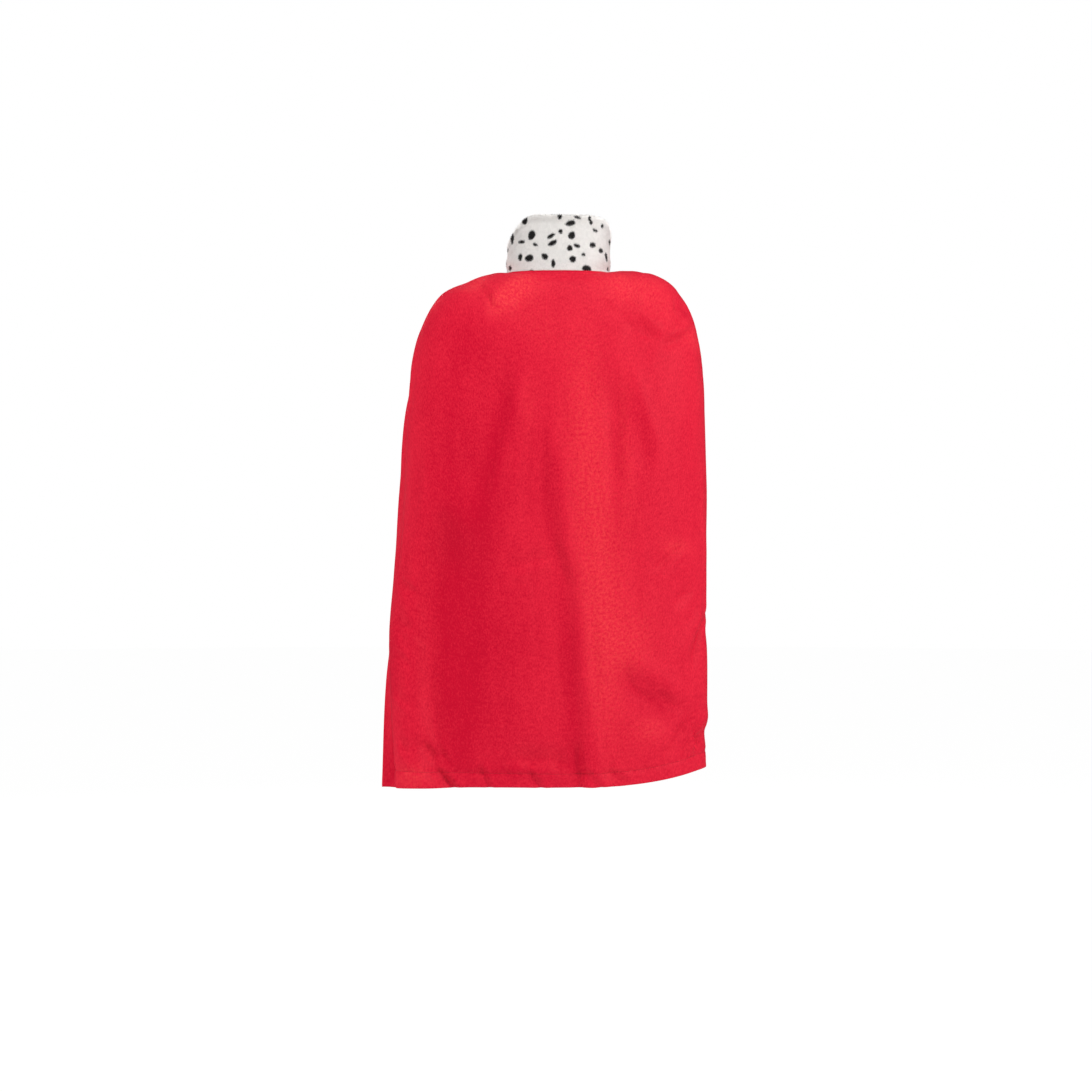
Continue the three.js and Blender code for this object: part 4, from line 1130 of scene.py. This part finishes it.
to_clump = [
    CLUMP * (clump[k] - CLUMP_CELLS // 2 + clump_at[k][clump]) - root_at[k] for k in range(2)]
under_top = np.where(turns_at < 0, heights[:, 1], heights[:, 0]) - np.abs(above) - PILE_RISE
lie = PILE_LIE * ease(under_top / STANDS_UP[0]) * ease(np.abs(above) / STANDS_UP[1])
stray = pile_rng.normal(0, PILE_STRAY, (2, len(roots)))
clumped = CLUMPING / (0.5 * PILE_LONG)
upward = -seamward * np.sign(above + 0.01)[:, None]


def leaning_from(start, lean, aside, lower):
    """Directions of tufts that lean from a start towards the seam, straying aside and down in given shares."""
    return unit(
        start + seamward * np.tan(lean * lie)[:, None] + sideways * (aside * stray[0])[:, None]
        + seamward * (lower * stray[1])[:, None])


gathered = outward + sideways * (clumped * to_clump[0])[:, None] + upward * (clumped * to_clump[1])[:, None]
first_way = leaning_from(outward, *LOWER_LEAN)
second_way = leaning_from(gathered, *UPPER_LEAN)
long = PILE_LONG * pile_rng.uniform(*LONG_SPREAD, len(roots))
round_turn = pile_rng.uniform(0, 2 * math.pi, len(roots))
clump_tone = np.random.default_rng(53).uniform(0, 1, (CLUMP_CELLS, CLUMP_CELLS))
tone_at = (1 - CLUMP_TONE) * pile_rng.uniform(0, 1, len(roots)) + CLUMP_TONE * clump_tone[clump]


def pile_tufts(chosen):
    """Tufts at the chosen roots: points, faces, and the marks of their points."""
    foot = roots[chosen] - ROOT_DEEP * outward[chosen]
    knee = foot + first_way[chosen] * (0.5 * long[chosen])[:, None]
    tip = knee + second_way[chosen] * (0.5 * long[chosen])[:, None]
    count = len(foot)
    corners = []
    for middle, thick in ((foot, PILE_THICK), (knee, KNEE_THICK * PILE_THICK)):
        for k in range(PILE_SIDES):
            turn = round_turn[chosen] + 2 * math.pi * k / PILE_SIDES
            corners.append(middle + 0.5 * thick * (
                np.cos(turn)[:, None] * sideways[chosen] + np.sin(turn)[:, None] * seamward[chosen]))
    points = np.stack([*corners, tip], axis=1)
    moved = points - roots[chosen][:, None]
    turned = np.sum(moved * sideways[chosen][:, None], axis=2) / MM_PER_DEGREE
    lowered = np.sum(moved * seamward[chosen][:, None], axis=2) - PILE_SHOWS
    level = above[chosen][:, None]
    black = plush_black(turns_at[chosen][:, None] + turned, level - np.sign(level) * lowered)
    faces = [(2, 1, 0)]
    for k in range(PILE_SIDES):
        n = (k + 1) % PILE_SIDES
        knee_k, knee_n = PILE_SIDES + k, PILE_SIDES + n
        faces += [(k, n, knee_n), (k, knee_n, knee_k), (knee_k, knee_n, 2 * PILE_SIDES)]
    if np.sum(np.cross(sideways[chosen][0], seamward[chosen][0]) * outward[chosen][0]) < 0:
        faces = [face[::-1] for face in faces]
    numbers = np.array(faces)[None, :, :] + (np.arange(count) * len(TUFT_TIPS))[:, None, None]
    marks = {
        "black": black.ravel(),
        "tip": np.tile(TUFT_TIPS, count),
        "tone": np.repeat(tone_at[chosen], len(TUFT_TIPS)),
    }
    return points.reshape(-1, 3), numbers.reshape(-1, 3), marks, np.repeat(outward[chosen], len(TUFT_TIPS), axis=0)


pile_pieces = []
for name, chosen in (("collar_pile_outside", above > 0), ("collar_pile_inside", above <= 0)):
    points, faces, marks, facing = pile_tufts(np.flatnonzero(chosen))
    piece = add_piece(name, points, faces, materials=[plush], marks=marks)
    own = np.empty(len(points) * 3, np.float32)
    piece.data.vertex_normals.foreach_get("vector", own)
    soft = unit((1 - SOFTNESS) * own.reshape(-1, 3) + SOFTNESS * facing)
    piece.data.normals_split_custom_set_from_vertices(soft.tolist())
    pile_pieces.append(piece)
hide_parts("collar")
for piece in (backing, *pile_pieces):
    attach(piece, "root")

# Closing tab: a short strip of white woven tape sewn inside the collar's right front end. It reaches over the throat
# to the patch, and its hooks face outwards, towards the loops.
TAB_HEIGHT = 22.0
TAB_THICK = 1.6
TAB_BOTTOM = -8.0
TAB_TOP = TAB_BOTTOM + TAB_HEIGHT
TAB_FROM = -34.0
TAB_TO = 33.0
SEWN_DOWN = (-31.5, -15.0)  # the tab's part that is stitched to the collar
SEWN_IN = 2.5  # its stitches run this far inside the tape's edges
TAPE_STITCH_PITCH = 2.2
TAPE_STITCH_SCALE = (1.8, 0.4, 0.34)
HOOK_PITCH = 1.5
HOOKS_WITHIN = (-9.5, 10.0)
TAPE_EDGE = (0.9, 0.3)  # width of the tape's thinner edge, and how much thinner it is
TAPE_CORNER = 2.0
PATCH_THICK = 1.4
THROAT_X = 11.0
INSIDE_COLLAR = COLLAR_THICK / 2 + SEAM_GAP
OVER_PATCH = INSIDE_COLLAR + PATCH_THICK + SEAM_GAP


def beside_ring(x, off, z):
    """A place inside the collar's front: x along the ring, its distance in from the ring's middle, and its level."""
    x, off, z = np.broadcast_arrays(np.asarray(x, float), off, z)
    beyond = np.maximum(np.abs(x) - THROAT_X, 0)
    turn = np.arccos(np.minimum(beyond / (SIDE[0][1] - THROAT_X), 1))
    to_x = np.where(beyond > 0, -np.sign(x) * np.cos(turn), 0)
    return np.stack([x + to_x * off, EDGE[0][2] * np.sin(turn) + np.sin(turn) * off, z], axis=-1)


def tape_faces(start, end, off_at, thick, bottom, top):
    """Front and back grids of a tape with rounded corners and thinner edges, as rows from the top down."""
    across_tape = np.concatenate([[0, 0.3, 0.9, 1.6], np.linspace(2.4, end - start - 2.4, 44)])
    across_tape = np.concatenate([across_tape, (end - start) - across_tape[3::-1]])
    up_tape = np.concatenate([[0, 0.3, 0.9], np.linspace(1.8, top - bottom - 1.8, 14)])
    up_tape = np.concatenate([up_tape, (top - bottom) - up_tape[2::-1]])[::-1]
    from_end = np.minimum(across_tape, end - start - across_tape)
    reach = np.clip(1 - from_end / TAPE_CORNER, 0, 1)
    cut = TAPE_CORNER * (1 - np.sqrt(1 - reach * reach))
    middle, half = (top + bottom) / 2, (top - bottom) / 2
    z = middle + (up_tape[:, None] - half) * (half - cut[None, :]) / half
    x = start + across_tape[None, :] * np.ones(z.shape)
    edge = np.minimum(from_end[None, :], np.minimum(up_tape, 2 * half - up_tape)[:, None])
    thinner = TAPE_EDGE[1] * thick * (1 - ease(edge / TAPE_EDGE[0]))
    off = off_at(x)
    outside = beside_ring(x, off + thinner, z)
    inside = beside_ring(x, off + thick - thinner, z)
    return outside, inside, x, z


def tape_material(name, colour, rib, bump):
    """White woven tape: fine ribs across it, crossed by the weft, with a soft sheen."""
    material, tree, shader = material_for(name, {"Sheen Weight": 0.15})
    place = node_for(tree, "ShaderNodeUVMap", uv_map="cloth")
    ribs = node_for(tree, "ShaderNodeTexWave", {"Scale": rib, "Distortion": 0.4}, bands_direction="X")
    weft = node_for(tree, "ShaderNodeTexWave", {"Scale": 0.6 * rib, "Distortion": 0.6}, bands_direction="Y")
    woven = node_for(tree, "ShaderNodeMath", operation="MULTIPLY")
    darker = tuple(0.8 * c for c in colour)
    shade = node_for(tree, "ShaderNodeMix", {6: (*darker, 1), 7: (*colour, 1)}, data_type="RGBA")
    rough = node_for(tree, "ShaderNodeMapRange", {"To Min": 0.72, "To Max": 0.58})
    relief = node_for(tree, "ShaderNodeBump", {"Strength": bump, "Distance": 0.0002})
    wire(
        tree, (place, "UV", ribs, "Vector"), (place, "UV", weft, "Vector"), (ribs, "Fac", woven, 0),
        (weft, "Fac", woven, 1), (woven, "Value", shade, 0), (shade, 2, shader, "Base Color"),
        (woven, "Value", rough, "Value"), (rough, "Result", shader, "Roughness"),
        (woven, "Value", relief, "Height"), (relief, "Normal", shader, "Normal"))
    return material


def tape_piece(name, start, end, off_at, thick, bottom, top, material):
    """A strip of woven tape inside the collar's front."""
    outside, inside, x, z = tape_faces(start, end, off_at, thick, bottom, top)
    place = np.stack([x.ravel(), z.ravel()], axis=1)
    return add_piece(
        name,
        np.concatenate([inside.reshape(-1, 3), outside.reshape(-1, 3)]),
        np.concatenate(walled_faces(*x.shape)),
        uv=np.concatenate([place, place]),
        materials=[material],
    )


def tab_off(x):
    """The tab's distance in from the ring: on the collar at its sewn end, and over the patch at the other."""
    return INSIDE_COLLAR + (OVER_PATCH - INSIDE_COLLAR) * ease((x + THROAT_X) / (1.5 * THROAT_X))


def sewn_box(start, end, off_at, bottom, top):
    """Stitches round a box on a tape's face, on the neck's side."""
    corners = [(start, bottom), (end, bottom), (end, top), (start, top), (start, bottom)]
    runs = []
    for (x0, z0), (x1, z1) in zip(corners[:-1], corners[1:]):
        x, z = np.linspace(x0, x1, 24), np.linspace(z0, z1, 24)
        line = beside_ring(x, off_at(x), z)
        facing = beside_ring(x, off_at(x) + 1, z) - line
        runs.append(stitched(line, facing, TAPE_STITCH_PITCH, TAPE_STITCH_PITCH / 2, TAPE_STITCH_SCALE))
    return runs


tape_white = tape_material("tape_white", (0.88, 0.88, 0.865), 330, 0.6)
tab = tape_piece("closing_tab", TAB_FROM, TAB_TO, tab_off, TAB_THICK, TAB_BOTTOM, TAB_TOP, tape_white)
thread_white, _, _ = material_for("thread_white", {"Base Color": (0.80, 0.79, 0.76, 1), "Roughness": 0.5})
tab_box = sewn_box(*SEWN_DOWN, lambda x: tab_off(x) + TAB_THICK, TAB_BOTTOM + SEWN_IN, TAB_TOP - SEWN_IN)
tab_stitches = add_piece("tab_stitches", *joined(tab_box), materials=[thread_white])
HOOK = swept_strand([
    (0, -0.1, 0.2), (0, 0, 0.2), (0, 0.45, 0.2), (0.12, 0.74, 0.2), (0.34, 0.84, 0.2), (0.5, 0.68, 0.18),
    (0.54, 0.5, 0.1)], 5)
hook_columns = np.arange(*HOOKS_WITHIN, HOOK_PITCH)
hook_x, hook_z = np.meshgrid(hook_columns, np.arange(TAB_BOTTOM + SEWN_IN, TAB_TOP - 2, HOOK_PITCH))
hook_x = hook_x.ravel() + HOOK_PITCH / 2 * (np.arange(hook_x.size) // len(hook_columns) % 2)
hook_z = hook_z.ravel()
hook_feet = beside_ring(hook_x, tab_off(hook_x), hook_z)
hook_up = hook_feet - beside_ring(hook_x, tab_off(hook_x) + 1, hook_z)
hook_way = np.tile([[1.0, 0, 0]], (len(hook_x), 1)) * np.where(np.arange(len(hook_x)) % 2 == 0, 1, -1)[:, None]
tab_hooks = add_piece(
    "tab_hooks", *copies_of(*HOOK, hook_feet, hook_way, hook_up, (1.0, 1.0, 1.0)), materials=[thread_white])
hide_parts("neck_tab")
for piece in (tab, tab_stitches, tab_hooks):
    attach(piece, "root")

# Loop patch: a short piece of white tape with brushed loops, sewn inside the collar's left front end. The tab covers
# it save for a narrow margin, where its loops show.
PATCH_MARGIN = 1.5
PATCH_FROM = 14.0
PATCH_TO = 36.0
PATCH_BOTTOM = TAB_BOTTOM - PATCH_MARGIN
PATCH_TOP = TAB_TOP + PATCH_MARGIN
LOOPS = 620
LOOPS_IN = (0.8, 0.5)  # how far the loops stay inside the patch's ends and its long edges


def patch_off(x):
    """The patch's distance in from the ring."""
    return INSIDE_COLLAR * np.ones(np.shape(x))


patch = tape_piece(
    "loop_patch_tape", PATCH_FROM, PATCH_TO, patch_off, PATCH_THICK, PATCH_BOTTOM, PATCH_TOP, tape_white)
LOOP = swept_strand([
    (-0.3, -0.1, 0.14), (-0.3, 0, 0.14), (-0.42, 0.35, 0.13), (-0.22, 0.66, 0.12), (0.1, 0.74, 0.12),
    (0.36, 0.5, 0.12), (0.34, 0.16, 0.13), (0.3, 0, 0.12)], 4)
loop_rng = np.random.default_rng(59)
loop_x = loop_rng.uniform(PATCH_FROM + LOOPS_IN[0], PATCH_TO - LOOPS_IN[0], LOOPS)
loop_z = loop_rng.uniform(PATCH_BOTTOM + LOOPS_IN[1], PATCH_TOP - LOOPS_IN[1], LOOPS)
bare = (loop_x > TAB_TO) | (loop_z < TAB_BOTTOM) | (loop_z > TAB_TOP)
loop_x, loop_z = loop_x[bare], loop_z[bare]
loop_feet = beside_ring(loop_x, INSIDE_COLLAR + PATCH_THICK, loop_z)
loop_up = beside_ring(loop_x, INSIDE_COLLAR + PATCH_THICK + 1, loop_z) - loop_feet
loop_way = loop_rng.normal(0, 1, (len(loop_x), 3))
patch_loops = add_piece(
    "patch_loops", *copies_of(*LOOP, loop_feet, loop_way, loop_up, (1.0, 1.0, 1.0)), materials=[thread_white])
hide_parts("loop_patch")
for piece in (patch, patch_loops):
    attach(piece, "root")
